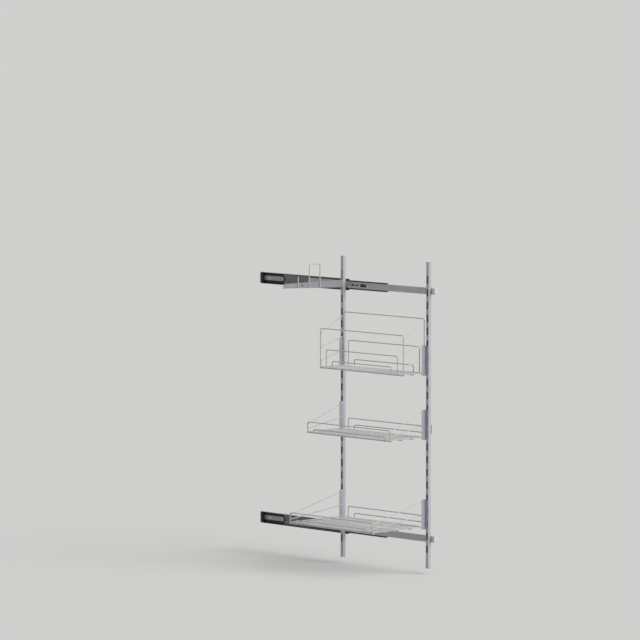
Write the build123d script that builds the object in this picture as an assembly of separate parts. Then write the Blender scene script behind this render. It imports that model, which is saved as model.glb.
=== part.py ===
from build123d import *

import math
import os
from dataclasses import dataclass

# Pull-out rack for a tall cabinet. Two ball-bearing slides on the side wall carry two slotted posts.
# Three wire baskets and a hanging arm hook into the slots. It is modelled pulled out, as at rest.
# Millimetres. The wall is the plane x = 0 and the rack lies towards -X. +Y goes into the cabinet, +Z up.
# The origin is the middle screw hole of the lower wall rail, on the wall plane.

# Slides: how long they are and how far they run
SCREW_HOLE_R = 2.6
SCREW_PITCH_STEP = 32.0
SCREW_FRONT_MARGIN = 10.0
SCREW_REAR_MARGIN = 20.0
RAIL_LENGTH = 500.0
TRAVEL = 464.0
CLOSED_PROUD = 9.0
MIDDLE_LENGTH = 450.0
MIDDLE_CLOSED_SETBACK = 14.0

# Slides: section
RAIL_HEIGHT = 45.5
RAIL_DEPTH = 12.7
RAIL_WALL = 1.2
RAIL_LIP = 1.0
RAIL_LIP_DROP = 0.8
MIDDLE_WALL = 1.2
MIDDLE_FLANGE = 1.5
MIDDLE_TIP_GAP = 0.5
INNER_WALL = 1.3
INNER_FLANGE = 1.4
INNER_FACE = 13.5
INNER_TIP_GAP = 0.7

# Balls and their cages
BALL_R = 2.0
BALL_CLEARANCE = 0.08
RACE_DEPTH = 0.2
BALL_X = -7.4
BALLS_IN_ROW = 10
BALL_END_MARGIN = 7.0
CAGE_SHEET = 0.6
CAGE_STRIP = 0.8
CAGE_STRIP_REACH = 3.2
CAGE_GAP = 0.3
POCKET_CLEARANCE = 0.12
CAGE_NOTCH_R = 9.0
OUTER_CAGE_LENGTH = 340.0
OUTER_CAGE_SETBACK = 33.0
OUTER_BALL_SPAN = 192.0
INNER_CAGE_LENGTH = 212.0
INNER_CAGE_SETBACK = 5.0
INNER_BALL_SPAN = 198.0

# Stops, buffers and the release levers
REAR_STOP = 8.0
STOP_GAP = 0.75
BUFFER_LENGTH = 17.0
BUFFER_TONGUE = 6.0
BUFFER_WALL_GAP = 5.0
BUFFER_ROUND = 2.0
BUFFER_PROUD = 4.0
LEVER_PAD = 31.0
LEVER_HEIGHT = 7.0
LEVER_SHEET = 2.5
LEVER_PROUD = 1.0
LEVER_LEAD = 101.5
LEVER_PIVOT_LEAD = 12.0
LEVER_TAIL = 8.0
LEVER_SIDE_GAP = 0.3
LEVER_PIN_R = 1.5
PIN_CLEARANCE = 0.08
LEVER_PIN_HEAD_R = 2.8
LEVER_PIN_HEAD = 1.0
LEVER_SWING = 2.5
WINDOW_GAP = 0.5
SLOT_CUT_LEADS = (59.0, 81.0)
SLOT_CUT_LENGTH = 15.0
SLOT_CUT_WIDTH = 6.0

# Posts
POST = 15.0
POST_WALL = 1.5
POST_LENGTH = 1195.0
POST_BOTTOM = -114.0
POST_INSET = 12.5
CAP_PLATE = 3.0
CAP_PLUG = 9.0
CAP_GAP = 0.15
SLOT_LENGTH = 28.0
SLOT_WIDTH = 9.0
SLOT_CORNER = 1.5
SLOT_PITCH = 50.0
SLOT_OFFSET = 12.0
SLOT_END_MARGIN = 10.0
BUMPER_HEIGHT = 36.0
BUMPER_WIDTH = 10.0
BUMPER_PROUD = 2.5
BUMPER_BOTTOM = 412.0

# Screws that hold the posts on the inner rails
POST_SCREW_R = 2.0
POST_SCREW_SPREAD = 5.5
POST_SCREW_HEAD_R = 3.25
POST_SCREW_HEAD = 2.4
POST_SCREW_TIP = 1.0
SCREW_PLAY = 0.15
NUT_ACROSS_FLATS = 7.0
NUT_HEIGHT = 3.2

# Brackets that hook into the posts
BRACKET_SHEET = 1.5
BRACKET_HEIGHT = 117.5
BRACKET_DROP = 4.5
BRACKET_DEPTH = 20.2
BRACKET_CORNER = 5.0
HANG_GAP = 0.3
HOOK_WIDTH = 6.0
HOOK_NECK = 6.0
HOOK_DROP = 8.0
HOOK_ABOVE_BASE = 18.0

# Basket wires
ROD_R = 2.5
LOOP_R = 2.0
SIDE_R = 1.75
FLOOR_R = 1.5
FLOOR_END_R = 2.0
FLOOR_PITCH = 20.0
FLOOR_ROD_PITCH = 70.0
TOUCH = 0.02
FLOOR_WELD = 0.4
LOOP_BEND = 8.0
LOW_LOOP_BEND = 5.0
LONG_LOOP_V = 197.5
SHORT_LOOP_V = 164.0

# Depths of the baskets, and heights of their wires over the base
TOP_DEPTH = 125.0
MIDDLE_DEPTH = 195.0
BOTTOM_DEPTH = 290.0
TOP_FRONT = 160.0
TOP_FRONT_MIDDLE = 78.0
TOP_BACK = 218.5
TOP_BACK_MIDDLE = 108.0
TOP_LOWEST = 34.0
TOP_SIDE_AT_POST = 205.0
TOP_SIDE_AT_FRONT = 139.0
TOP_SIDE_MIDDLE_AT_POST = 120.0
TOP_SIDE_MIDDLE_AT_FRONT = 85.0
TOP_SIDE_LOW_AT_POST = 65.0
TOP_SIDE_LOW_AT_FRONT = 32.0
LOW_FRONT = 46.0
LOW_FRONT_INNER = 19.0
LOW_BACK = 50.0
LOW_BACK_INNER = 25.0
LOW_SIDE_AT_POST = 107.0
LOW_SIDE_AT_FRONT = 38.0
LOW_SIDE_INNER_AT_POST = 52.0
LOW_SIDE_INNER_AT_FRONT = 19.0

# Hanging arm on the rear post
ARM_SHEET = 2.0
ARM_REACH = 322.0
ARM_RISE = 24.5
ARM_ROOT_HEIGHT = 30.0
ARM_TIP_HEIGHT = 17.0
ARM_TIP_ROUND = 7.0
ARM_LIP = 9.0
ARM_FLANGE_RISE = 42.0
ARM_FLANGE_DROP = 10.0
ARM_HOLE_R = 4.0
ARM_HOLE_AT = 223.0
ARM_LOOP_AT = 157.0
ARM_LOOP_WIDTH = 57.0
ARM_LOOP_RISE = 72.5
ARM_LOOP_BEND = 6.0
ARM_LOOP_LAP = 22.0
ARM_PEG_AT = 246.0
ARM_PEG_RISE = 26.0
ARM_PEG_LAP = 13.0
ARM_WIRE_R = 2.0

# How far a cut runs past the face that it goes through
CUT_RUN = 1.0


@dataclass(frozen=True)
class Basket:
    """One wire basket: its lower hook's slot, its depth, and the heights of its wires over the base.

    A loop is (how far its front and its rear leg are from the middle, and its height). None stands for
    a leg as far out as the other wires let it be. A side wire is (its height at the post, its height at
    the front loop).
    """

    name: str
    slot: int
    depth: float
    front_loops: tuple
    back_loops: tuple
    side_wires: tuple


LOW_WIRES = (
    ((None, None, LOW_FRONT), (LONG_LOOP_V, LONG_LOOP_V, LOW_FRONT_INNER)),
    ((None, LONG_LOOP_V, LOW_BACK), (None, SHORT_LOOP_V, LOW_BACK_INNER)),
    ((LOW_SIDE_AT_POST, LOW_SIDE_AT_FRONT), (LOW_SIDE_INNER_AT_POST, LOW_SIDE_INNER_AT_FRONT)),
)
BASKETS = (
    Basket(
        "top_basket", 13, TOP_DEPTH,
        (
            (None, None, TOP_FRONT),
            (LONG_LOOP_V, LONG_LOOP_V, TOP_FRONT_MIDDLE),
            (SHORT_LOOP_V, SHORT_LOOP_V, TOP_LOWEST),
        ),
        (
            (None, None, TOP_BACK),
            (LONG_LOOP_V, LONG_LOOP_V, TOP_BACK_MIDDLE),
            (SHORT_LOOP_V, SHORT_LOOP_V, TOP_LOWEST),
        ),
        (
            (TOP_SIDE_AT_POST, TOP_SIDE_AT_FRONT),
            (TOP_SIDE_MIDDLE_AT_POST, TOP_SIDE_MIDDLE_AT_FRONT),
            (TOP_SIDE_LOW_AT_POST, TOP_SIDE_LOW_AT_FRONT),
        ),
    ),
    Basket("middle_basket", 8, MIDDLE_DEPTH, *LOW_WIRES),
    Basket("bottom_basket", 1, BOTTOM_DEPTH, *LOW_WIRES),
)

# Half heights of the slide's members, from the wall inwards, one ball between each pair
WALL_HALF = RAIL_HEIGHT / 2
OUTER_BALL_Z = WALL_HALF - RAIL_WALL - BALL_R + RACE_DEPTH
MIDDLE_HALF = OUTER_BALL_Z - BALL_R + RACE_DEPTH
INNER_BALL_Z = MIDDLE_HALF - MIDDLE_FLANGE - BALL_R + RACE_DEPTH
INNER_HALF = INNER_BALL_Z - BALL_R + RACE_DEPTH

# Faces along X, from the wall inwards
OUTER_CAGE_X = -RAIL_WALL - CAGE_GAP
MIDDLE_X = OUTER_CAGE_X - CAGE_SHEET - CAGE_GAP
INNER_CAGE_X = MIDDLE_X - MIDDLE_WALL - CAGE_GAP
INNER_TIP_X = INNER_CAGE_X - CAGE_SHEET - INNER_TIP_GAP
INNER_BACK_X = -INNER_FACE + INNER_WALL
POST_BACK_X = -INNER_FACE
POST_FACE_X = POST_BACK_X - POST

# The screw holes are at whole steps from the middle one, and the rail's front end is just past the first
SCREW_PITCH = math.floor((RAIL_LENGTH / 2 - SCREW_REAR_MARGIN) / SCREW_PITCH_STEP) * SCREW_PITCH_STEP
RAIL_FRONT = -SCREW_PITCH - SCREW_FRONT_MARGIN

# The posts run past both slides by the same length, and the hanging arm takes the two topmost slots
SLIDE_SPACING = POST_LENGTH + 2 * POST_BOTTOM
SLOT_REACH = SLOT_LENGTH / 2 + SLOT_END_MARGIN
POST_LOW = POST_BOTTOM + CAP_PLATE
POST_HIGH = POST_BOTTOM + POST_LENGTH - CAP_PLATE
FIRST_SLOT = math.ceil((POST_LOW + SLOT_REACH - SLOT_OFFSET) / SLOT_PITCH)
LAST_SLOT = math.floor((POST_HIGH - SLOT_REACH - SLOT_OFFSET) / SLOT_PITCH)
ARM_SLOT = LAST_SLOT - 1

# Places along Y, with the rack pulled out
RAIL_REAR = RAIL_FRONT + RAIL_LENGTH
INNER_FRONT = RAIL_FRONT - CLOSED_PROUD - TRAVEL
INNER_REAR = INNER_FRONT + RAIL_LENGTH
MIDDLE_FRONT = RAIL_FRONT + MIDDLE_CLOSED_SETBACK - TRAVEL / 2
MIDDLE_REAR = MIDDLE_FRONT + MIDDLE_LENGTH
OUTER_CAGE_FRONT = RAIL_FRONT + OUTER_CAGE_SETBACK
INNER_CAGE_FRONT = MIDDLE_FRONT + INNER_CAGE_SETBACK
REAR_POST_Y = INNER_REAR - POST_INSET
FRONT_POST_Y = INNER_FRONT + POST_INSET
MID_Y = (REAR_POST_Y + FRONT_POST_Y) / 2
POST_INNER_V = (REAR_POST_Y - FRONT_POST_Y - POST) / 2

# Distances along Y from the middle between the posts to each basket's wires
BRACKET_V = POST_INNER_V - BRACKET_SHEET
SIDE_V = BRACKET_V - SIDE_R - TOUCH
FRONT_LEG_V = SIDE_V + SIDE_R + LOOP_R + TOUCH
BACK_LEG_V = SIDE_V - SIDE_R - LOOP_R - TOUCH
BRACKET_BACK_X = POST_FACE_X - HANG_GAP
BACK_LOOP_X = BRACKET_BACK_X - LOOP_R
BACK_ROD_X = BACK_LOOP_X - LOOP_R - ROD_R - TOUCH
END_WIRE_V = BRACKET_V - FLOOR_END_R - TOUCH

PART_DIR = "parts"
REAR, FRONT = 1, -1


def span(x, y, z):
    """A block between the two values given along each axis."""
    size = [abs(high - low) for low, high in (x, y, z)]
    middle = [(high + low) / 2 for low, high in (x, y, z)]
    return Pos(*middle) * Box(*size)


def bar(start, end, radius):
    """A round bar from one point to another."""
    start, end = Vector(*start), Vector(*end)
    return Plane(origin=start, z_dir=end - start) * Cylinder(
        radius, (end - start).length, align=(Align.CENTER, Align.CENTER, Align.MIN)
    )


def cross_bar(x0, x1, y, z, radius, extra=0):
    """A round bar along X, run on past both ends by an extra length."""
    return bar((min(x0, x1) - extra, y, z), (max(x0, x1) + extra, y, z), radius)


def bent_wire(points, radius, bend):
    """A round wire along straight runs, joined by arcs of one radius."""
    path = FilletPolyline(*points, radius=bend)
    return sweep(Plane(origin=path @ 0, z_dir=path % 0) * Circle(radius), path=path)


def join(shapes):
    """One welded piece from overlapping shapes."""
    first, *others = shapes
    return first.fuse(*others) if others else first


def group(shapes):
    """Separate solids kept in one node."""
    return Compound(children=[solid for shape in shapes for solid in shape.solids()])


def save(name, shape):
    """Write one node."""
    export_step(shape, os.path.join(PART_DIR, f"{name}.step"))


def mirror_y(side, distance):
    """The place along Y at a distance from the middle between the posts."""
    return MID_Y + side * distance


def slot_z(index):
    """The height of a post slot's middle."""
    return SLOT_OFFSET + index * SLOT_PITCH


def races(ball_z, y, z):
    """The two grooves that a pair of ball rows runs in."""
    radius = BALL_R + BALL_CLEARANCE
    return [bar((BALL_X, y[0], z + s * ball_z), (BALL_X, y[1], z + s * ball_z), radius) for s in (1, -1)]


def channel(face_x, wall, tip_x, half, flange, y, z):
    """A C section: a web whose face is at face_x, and flanges that reach to tip_x."""
    step = math.copysign(wall, tip_x - face_x)
    web = span((face_x, face_x + step), y, (z - half, z + half))
    flanges = [span((face_x, tip_x), y, (z + s * half, z + s * (half - flange))) for s in (1, -1)]
    return join([web, *flanges])


def wall_rail(z):
    """The member screwed to the cabinet wall, with its rolled edges and three screw holes."""
    y = (RAIL_FRONT, RAIL_REAR)
    rail = channel(0, RAIL_WALL, -RAIL_DEPTH, WALL_HALF, RAIL_WALL, y, z)
    lip_x = (-RAIL_DEPTH, -RAIL_DEPTH + RAIL_LIP)
    lip_low = WALL_HALF - RAIL_WALL - RAIL_LIP_DROP
    lips = [span(lip_x, y, (z + s * WALL_HALF, z + s * lip_low)) for s in (1, -1)]
    holes = [cross_bar(-RAIL_WALL, 0, i * SCREW_PITCH, z, SCREW_HOLE_R, CUT_RUN) for i in (-1, 0, 1)]
    return join([rail, *lips]).cut(*races(OUTER_BALL_Z, y, z), *holes)


def rear_stop(z):
    """The rubber block that the inner rail meets when the rack is pushed in."""
    y = (RAIL_REAR - REAR_STOP, RAIL_REAR)
    half = RAIL_HEIGHT / 2 - RAIL_WALL - RAIL_LIP_DROP - STOP_GAP
    return span((-INNER_FACE, -RAIL_WALL), y, (z - half, z + half))


def middle_rail(z):
    """The member between the two ball rows."""
    y = (MIDDLE_FRONT, MIDDLE_REAR)
    tip_x = -RAIL_DEPTH + MIDDLE_TIP_GAP
    rail = channel(MIDDLE_X, MIDDLE_WALL, tip_x, MIDDLE_HALF, MIDDLE_FLANGE, y, z)
    return rail.cut(*races(OUTER_BALL_Z, y, z), *races(INNER_BALL_Z, y, z))


def ball_places(front, span_y):
    """Where the balls of one row sit along Y."""
    first = front + BALL_END_MARGIN
    pitch = span_y / (BALLS_IN_ROW - 1)
    return [first + i * pitch for i in range(BALLS_IN_ROW)]


def cage(face_x, ball_z, front, length, span_y, z):
    """A ball retainer: a web with a notched rear end, and two pierced strips."""
    y = (front, front + length)
    half = ball_z + CAGE_STRIP / 2
    body = channel(face_x, CAGE_SHEET, BALL_X - CAGE_STRIP_REACH, half, CAGE_STRIP, y, z)
    places = ball_places(front, span_y)
    pocket = BALL_R + POCKET_CLEARANCE
    pockets = [bar((BALL_X, at, z - WALL_HALF), (BALL_X, at, z + WALL_HALF), pocket) for at in places]
    notch = cross_bar(-RAIL_DEPTH, 0, y[1], z, CAGE_NOTCH_R)
    return body.cut(*pockets, notch)


def balls(ball_z, front, span_y, z):
    """Two rows of balls."""
    places = ball_places(front, span_y)
    return group([Pos(BALL_X, at, z + s * ball_z) * Sphere(BALL_R) for at in places for s in (1, -1)])


def post_screw_places(z):
    """Centres, along Y and Z, of the screws between the posts and one inner rail."""
    return [(y, z + s * POST_SCREW_SPREAD) for y in (REAR_POST_Y, FRONT_POST_Y) for s in (1, -1)]


def lever_pad(z):
    """The span along Y and Z of the lever's thumb pad."""
    rear = INNER_REAR - LEVER_LEAD
    return (rear - LEVER_PAD, rear), (z - LEVER_HEIGHT / 2, z + LEVER_HEIGHT / 2)


def lever_pivot(z):
    """The lever's pivot, along Y and Z."""
    return lever_pad(z)[0][0] - LEVER_PIVOT_LEAD, z


def inner_rail(z):
    """The member that carries the posts, with its lever window and post screw holes."""
    y = (INNER_FRONT, INNER_REAR)
    rail = channel(-INNER_FACE, INNER_WALL, INNER_TIP_X, INNER_HALF, INNER_FLANGE, y, z)
    pad_y, pad_z = lever_pad(z)
    swing = (LEVER_PAD + LEVER_PIVOT_LEAD) * math.sin(math.radians(LEVER_SWING))
    through = (-INNER_FACE - CUT_RUN, INNER_BACK_X + CUT_RUN)
    window = span(
        through,
        (pad_y[0] - WINDOW_GAP, pad_y[1] + WINDOW_GAP),
        (pad_z[0] - swing - WINDOW_GAP, pad_z[1] + swing + WINDOW_GAP),
    )
    pin_hole = cross_bar(*through, *lever_pivot(z), LEVER_PIN_R)
    screws = [cross_bar(*through, a, b, POST_SCREW_R + SCREW_PLAY) for a, b in post_screw_places(z)]
    half_run = (SLOT_CUT_LENGTH - SLOT_CUT_WIDTH) / 2
    cuts = []
    for lead in SLOT_CUT_LEADS:
        run_y = (INNER_REAR - lead - half_run, INNER_REAR - lead + half_run)
        cuts += [cross_bar(*through, end, z, SLOT_CUT_WIDTH / 2) for end in run_y]
        cuts.append(span(through, run_y, (z - SLOT_CUT_WIDTH / 2, z + SLOT_CUT_WIDTH / 2)))
    return rail.cut(*races(INNER_BALL_Z, y, z), window, pin_hole, *screws, *cuts)


def release_lever(z):
    """The plastic lever behind the inner rail's web, with its pad in the window."""
    pad_y, pad_z = lever_pad(z)
    pivot_y, pivot_z = lever_pivot(z)
    back = INNER_BACK_X + LEVER_SIDE_GAP
    body = span((back, back + LEVER_SHEET), (pivot_y - LEVER_TAIL, pad_y[1]), pad_z)
    pad = span((-INNER_FACE - LEVER_PROUD, back), pad_y, pad_z)
    hole = cross_bar(back, back + LEVER_SHEET, pivot_y, pivot_z, LEVER_PIN_R + PIN_CLEARANCE, CUT_RUN)
    return join([body, pad]).cut(hole)


def lever_pin(z):
    """The rivet that the lever turns on."""
    pivot = lever_pivot(z)
    inside = INNER_BACK_X + LEVER_SIDE_GAP + LEVER_SHEET + LEVER_SIDE_GAP
    shank = cross_bar(-INNER_FACE, inside, *pivot, LEVER_PIN_R)
    outer_head = cross_bar(-INNER_FACE - LEVER_PIN_HEAD, -INNER_FACE, *pivot, LEVER_PIN_HEAD_R)
    inner_head = cross_bar(inside, inside + LEVER_PIN_HEAD, *pivot, LEVER_PIN_HEAD_R)
    return join([shank, outer_head, inner_head])


def front_buffer(z):
    """The plastic end piece of the inner rail, with a tongue inside the rail."""
    inside = (z - INNER_HALF + INNER_FLANGE, z + INNER_HALF - INNER_FLANGE)
    face = -INNER_FACE - BUFFER_PROUD
    head = span((face, -BUFFER_WALL_GAP), (INNER_FRONT - BUFFER_LENGTH, INNER_FRONT), inside)
    rounded = fillet(head.edges().filter_by(Axis.X).group_by(Axis.Y)[0], BUFFER_ROUND)
    tongue = span((INNER_BACK_X, -BUFFER_WALL_GAP), (INNER_FRONT, INNER_FRONT + BUFFER_TONGUE), inside)
    return join([rounded, tongue])


def post(y):
    """A square tube with hook slots in the face towards the baskets."""
    tube = span((POST_FACE_X, POST_BACK_X), (y - POST / 2, y + POST / 2), (POST_LOW, POST_HIGH))
    hollow = span(
        (POST_FACE_X + POST_WALL, POST_BACK_X - POST_WALL),
        (y - POST / 2 + POST_WALL, y + POST / 2 - POST_WALL),
        (POST_LOW, POST_HIGH),
    )
    outline = RectangleRounded(SLOT_WIDTH, SLOT_LENGTH, SLOT_CORNER)
    slots = []
    for i in range(FIRST_SLOT, LAST_SLOT + 1):
        face = Plane(origin=(POST_FACE_X - CUT_RUN, y, slot_z(i)), x_dir=(0, 1, 0), z_dir=(1, 0, 0))
        slots.append(extrude(face * outline, POST_WALL + 2 * CUT_RUN))
    hole_r = POST_SCREW_R + SCREW_PLAY
    heights = [z + s * POST_SCREW_SPREAD for z in (0, SLIDE_SPACING) for s in (1, -1)]
    screws = [cross_bar(POST_BACK_X - POST_WALL, POST_BACK_X, y, z, hole_r, CUT_RUN) for z in heights]
    return tube.cut(hollow, *slots, *screws)


def post_caps(low, high, inward):
    """The caps at one end of both posts: a plate and a plug inside the tube."""
    caps = []
    for y in (REAR_POST_Y, FRONT_POST_Y):
        plate = span((POST_FACE_X, POST_BACK_X), (y - POST / 2, y + POST / 2), (low, high))
        edge = POST_WALL + CAP_GAP
        seat = high if inward > 0 else low
        plug = span(
            (POST_FACE_X + edge, POST_BACK_X - edge),
            (y - POST / 2 + edge, y + POST / 2 - edge),
            (seat, seat + inward * CAP_PLUG),
        )
        caps.append(join([plate, plug]))
    return group(caps)


def post_bumper():
    """A rubber pad on the front post's wall side."""
    return span(
        (POST_BACK_X, POST_BACK_X + BUMPER_PROUD),
        (FRONT_POST_Y - POST / 2, FRONT_POST_Y - POST / 2 + BUMPER_WIDTH),
        (BUMPER_BOTTOM, BUMPER_BOTTOM + BUMPER_HEIGHT),
    )


def post_screws(z):
    """Round-head screws from inside the posts into the rail."""
    seat = POST_BACK_X - POST_WALL
    tip = INNER_BACK_X + NUT_HEIGHT + POST_SCREW_TIP
    return group(
        join([
            cross_bar(seat - POST_SCREW_HEAD, seat, *place, POST_SCREW_HEAD_R),
            cross_bar(seat, tip, *place, POST_SCREW_R),
        ])
        for place in post_screw_places(z)
    )


def post_nuts(z):
    """Hexagon nuts behind the inner rail's web."""
    nuts = []
    for y, b in post_screw_places(z):
        face = Plane(origin=(INNER_BACK_X, y, b), x_dir=(0, 0, 1), z_dir=(1, 0, 0))
        hexagon = RegularPolygon(NUT_ACROSS_FLATS / 2, 6, major_radius=False)
        nut = extrude(face * hexagon, NUT_HEIGHT)
        bore = cross_bar(INNER_BACK_X, INNER_BACK_X + NUT_HEIGHT, y, b, POST_SCREW_R, CUT_RUN)
        nuts.append(nut.cut(bore))
    return group(nuts)


def hook(post_y, slot_middle):
    """A tongue through a slot that drops behind the post's wall."""
    neck_low = slot_middle - SLOT_LENGTH / 2 + HANG_GAP
    prong_face = POST_FACE_X + POST_WALL + HANG_GAP
    prong_back = prong_face + BRACKET_SHEET
    y = (post_y - HOOK_WIDTH / 2, post_y + HOOK_WIDTH / 2)
    neck = span((BRACKET_BACK_X, prong_back), y, (neck_low, neck_low + HOOK_NECK))
    prong = span((prong_face, prong_back), y, (neck_low - HOOK_DROP, neck_low + HOOK_NECK))
    return join([neck, prong])


def basket_base(basket):
    """The height of a basket's lowest wires."""
    return slot_z(basket.slot) - HOOK_ABOVE_BASE


def bracket(basket, side):
    """A bent sheet: one leg on the post with two hooks, the other leg carries the basket's wires."""
    low = basket_base(basket) - BRACKET_DROP
    z = (low, low + BRACKET_HEIGHT)
    post_y = mirror_y(side, POST_INNER_V + POST / 2)
    web_y = (mirror_y(side, BRACKET_V), mirror_y(side, POST_INNER_V))
    flange_y = (web_y[0], post_y + side * HOOK_WIDTH / 2)
    flange = span((BRACKET_BACK_X - BRACKET_SHEET, BRACKET_BACK_X), flange_y, z)
    web = span((BRACKET_BACK_X - BRACKET_DEPTH, BRACKET_BACK_X), web_y, z)
    web = fillet(web.edges().filter_by(Axis.Y).group_by(Axis.X)[0], BRACKET_CORNER)
    hooks = [hook(post_y, slot_z(basket.slot + i)) for i in (0, 1)]
    return join([flange, web, *hooks])


def front_x(basket):
    """The place along X of a basket's front loops."""
    return POST_FACE_X - basket.depth + LOOP_R


def loop_set(basket, loops, x, full_v):
    """Nested loops of wire that stand on the base, all in one plane."""
    base = basket_base(basket)
    wires = []
    for i, (front, rear, height) in enumerate(loops):
        beside = full_v - i * (2 * LOOP_R + TOUCH)
        front_y, rear_y = mirror_y(FRONT, front or beside), mirror_y(REAR, rear or beside)
        bend = LOOP_BEND if height > 3 * LOOP_BEND else LOW_LOOP_BEND
        top = base + height - LOOP_R
        corners = [(front_y, base), (front_y, top), (rear_y, top), (rear_y, base)]
        wires.append(bent_wire([(x, y, z) for y, z in corners], LOOP_R, bend))
    return group(wires)


def side_wires(basket, side):
    """The sloping wires at one end of a basket."""
    base = basket_base(basket)
    y = mirror_y(side, SIDE_V)
    return group(
        bar((BACK_LOOP_X, y, base + back), (front_x(basket), y, base + front), SIDE_R)
        for back, front in basket.side_wires
    )


def basket_floor(basket):
    """The floor: rods along the basket with close wires welded across them, thicker ones at the ends."""
    base = basket_base(basket)
    rod_z = base + ROD_R
    front_rod = front_x(basket) + LOOP_R + ROD_R + TOUCH
    bays = max(1, round((BACK_ROD_X - front_rod) / FLOOR_ROD_PITCH))
    pieces = []
    for i in range(bays + 1):
        x = front_rod + (BACK_ROD_X - front_rod) * i / bays
        reach = FRONT_LEG_V + LOOP_R if i == 0 else BRACKET_V - TOUCH
        pieces.append(bar((x, mirror_y(FRONT, reach), rod_z), (x, mirror_y(REAR, reach), rod_z), ROD_R))
    count = int((END_WIRE_V - FLOOR_PITCH / 2) // FLOOR_PITCH)
    places = [(MID_Y + i * FLOOR_PITCH, FLOOR_R) for i in range(-count, count + 1)]
    places += [(mirror_y(side, END_WIRE_V), FLOOR_END_R) for side in (FRONT, REAR)]
    for y, radius in places:
        wire_z = rod_z + ROD_R + radius - FLOOR_WELD
        pieces.append(cross_bar(front_rod, BACK_ROD_X, y, wire_z, radius, ROD_R))
    return join(pieces)


def arm_top():
    """The height of the hanging arm's straight upper edge."""
    return slot_z(ARM_SLOT) + ARM_RISE


def arm_x(distance):
    """A place along the hanging arm, measured from its root."""
    return BRACKET_BACK_X - distance


def arm_low(distance):
    """The height of the arm's sloping lower edge."""
    slope = (ARM_ROOT_HEIGHT - ARM_TIP_HEIGHT) / ARM_REACH
    return arm_top() - ARM_ROOT_HEIGHT + slope * distance


def upright_plate(corners, y, thickness):
    """A flat plate on edge, from its corners in X and Z, that reaches from y towards +Y."""
    face = Plane(origin=(0, y + thickness, 0), x_dir=(1, 0, 0), z_dir=(0, -1, 0))
    return extrude(face * make_face(Polyline(*corners, close=True)), thickness)


def hanging_arm():
    """A tapered sheet arm on the rear post, with a stiffening lip and two hooks."""
    y_face = REAR_POST_Y - POST / 2
    corners = [(arm_x(0), arm_top()), (arm_x(0), arm_low(0))]
    corners += [(arm_x(ARM_REACH), arm_low(ARM_REACH)), (arm_x(ARM_REACH), arm_top())]
    web = upright_plate(corners, y_face, ARM_SHEET)
    web = fillet(web.edges().filter_by(Axis.Y).group_by(Axis.X)[0], ARM_TIP_ROUND)
    lip_end = ARM_REACH - ARM_TIP_ROUND
    lip_corners = [(arm_x(0), arm_low(0)), (arm_x(lip_end), arm_low(lip_end))]
    lip_corners += [(x, z + ARM_SHEET) for x, z in reversed(lip_corners)]
    lip = upright_plate(lip_corners, y_face, ARM_SHEET + ARM_LIP)
    flange = span(
        (BRACKET_BACK_X - BRACKET_SHEET, BRACKET_BACK_X),
        (y_face, REAR_POST_Y + HOOK_WIDTH / 2),
        (arm_low(0) - ARM_FLANGE_DROP, arm_top() + ARM_FLANGE_RISE),
    )
    hooks = [hook(REAR_POST_Y, slot_z(ARM_SLOT + i)) for i in (0, 1)]
    hole_z = (arm_top() + arm_low(ARM_HOLE_AT)) / 2
    hole_x = arm_x(ARM_HOLE_AT)
    hole_y = (y_face - CUT_RUN, y_face + ARM_SHEET + CUT_RUN)
    hole = bar((hole_x, hole_y[0], hole_z), (hole_x, hole_y[1], hole_z), ARM_HOLE_R)
    return join([web, lip, flange, *hooks]).cut(hole)


def arm_wire_y():
    """The place along Y of the wires welded to the arm's face."""
    return REAR_POST_Y - POST / 2 - ARM_WIRE_R - TOUCH


def arm_loop():
    """The wire loop that stands over the arm."""
    low, high = arm_top() - ARM_LOOP_LAP, arm_top() + ARM_LOOP_RISE - ARM_WIRE_R
    near, far = arm_x(ARM_LOOP_AT - ARM_LOOP_WIDTH / 2), arm_x(ARM_LOOP_AT + ARM_LOOP_WIDTH / 2)
    corners = [(far, low), (far, high), (near, high), (near, low)]
    return bent_wire([(x, arm_wire_y(), z) for x, z in corners], ARM_WIRE_R, ARM_LOOP_BEND)


def arm_peg():
    """The peg that stops things sliding off the arm's end."""
    x, y = arm_x(ARM_PEG_AT), arm_wire_y()
    return bar((x, y, arm_top() - ARM_PEG_LAP), (x, y, arm_top() + ARM_PEG_RISE), ARM_WIRE_R)


def save_slide(name, z):
    """Write the nodes of one slide."""
    outer = (OUTER_BALL_Z, OUTER_CAGE_FRONT)
    inner = (INNER_BALL_Z, INNER_CAGE_FRONT)
    save(f"{name}_wall_rail", wall_rail(z))
    save(f"{name}_rear_stop", rear_stop(z))
    save(f"{name}_outer_ball_cage", cage(OUTER_CAGE_X, *outer, OUTER_CAGE_LENGTH, OUTER_BALL_SPAN, z))
    save(f"{name}_outer_balls", balls(*outer, OUTER_BALL_SPAN, z))
    save(f"{name}_middle_rail", middle_rail(z))
    save(f"{name}_inner_ball_cage", cage(INNER_CAGE_X, *inner, INNER_CAGE_LENGTH, INNER_BALL_SPAN, z))
    save(f"{name}_inner_balls", balls(*inner, INNER_BALL_SPAN, z))
    save(f"{name}_inner_rail", inner_rail(z))
    save(f"{name}_release_lever", release_lever(z))
    save(f"{name}_lever_pin", lever_pin(z))
    save(f"{name}_front_buffer", front_buffer(z))
    save(f"{name}_post_screws", post_screws(z))
    save(f"{name}_post_nuts", post_nuts(z))


def save_basket(basket):
    """Write the nodes of one basket."""
    save(f"{basket.name}_floor", basket_floor(basket))
    save(f"{basket.name}_front_loops", loop_set(basket, basket.front_loops, front_x(basket), FRONT_LEG_V))
    save(f"{basket.name}_back_loops", loop_set(basket, basket.back_loops, BACK_LOOP_X, BACK_LEG_V))
    for side, word in ((REAR, "rear"), (FRONT, "front")):
        save(f"{basket.name}_{word}_side_wires", side_wires(basket, side))
        save(f"{basket.name}_{word}_bracket", bracket(basket, side))


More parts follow.
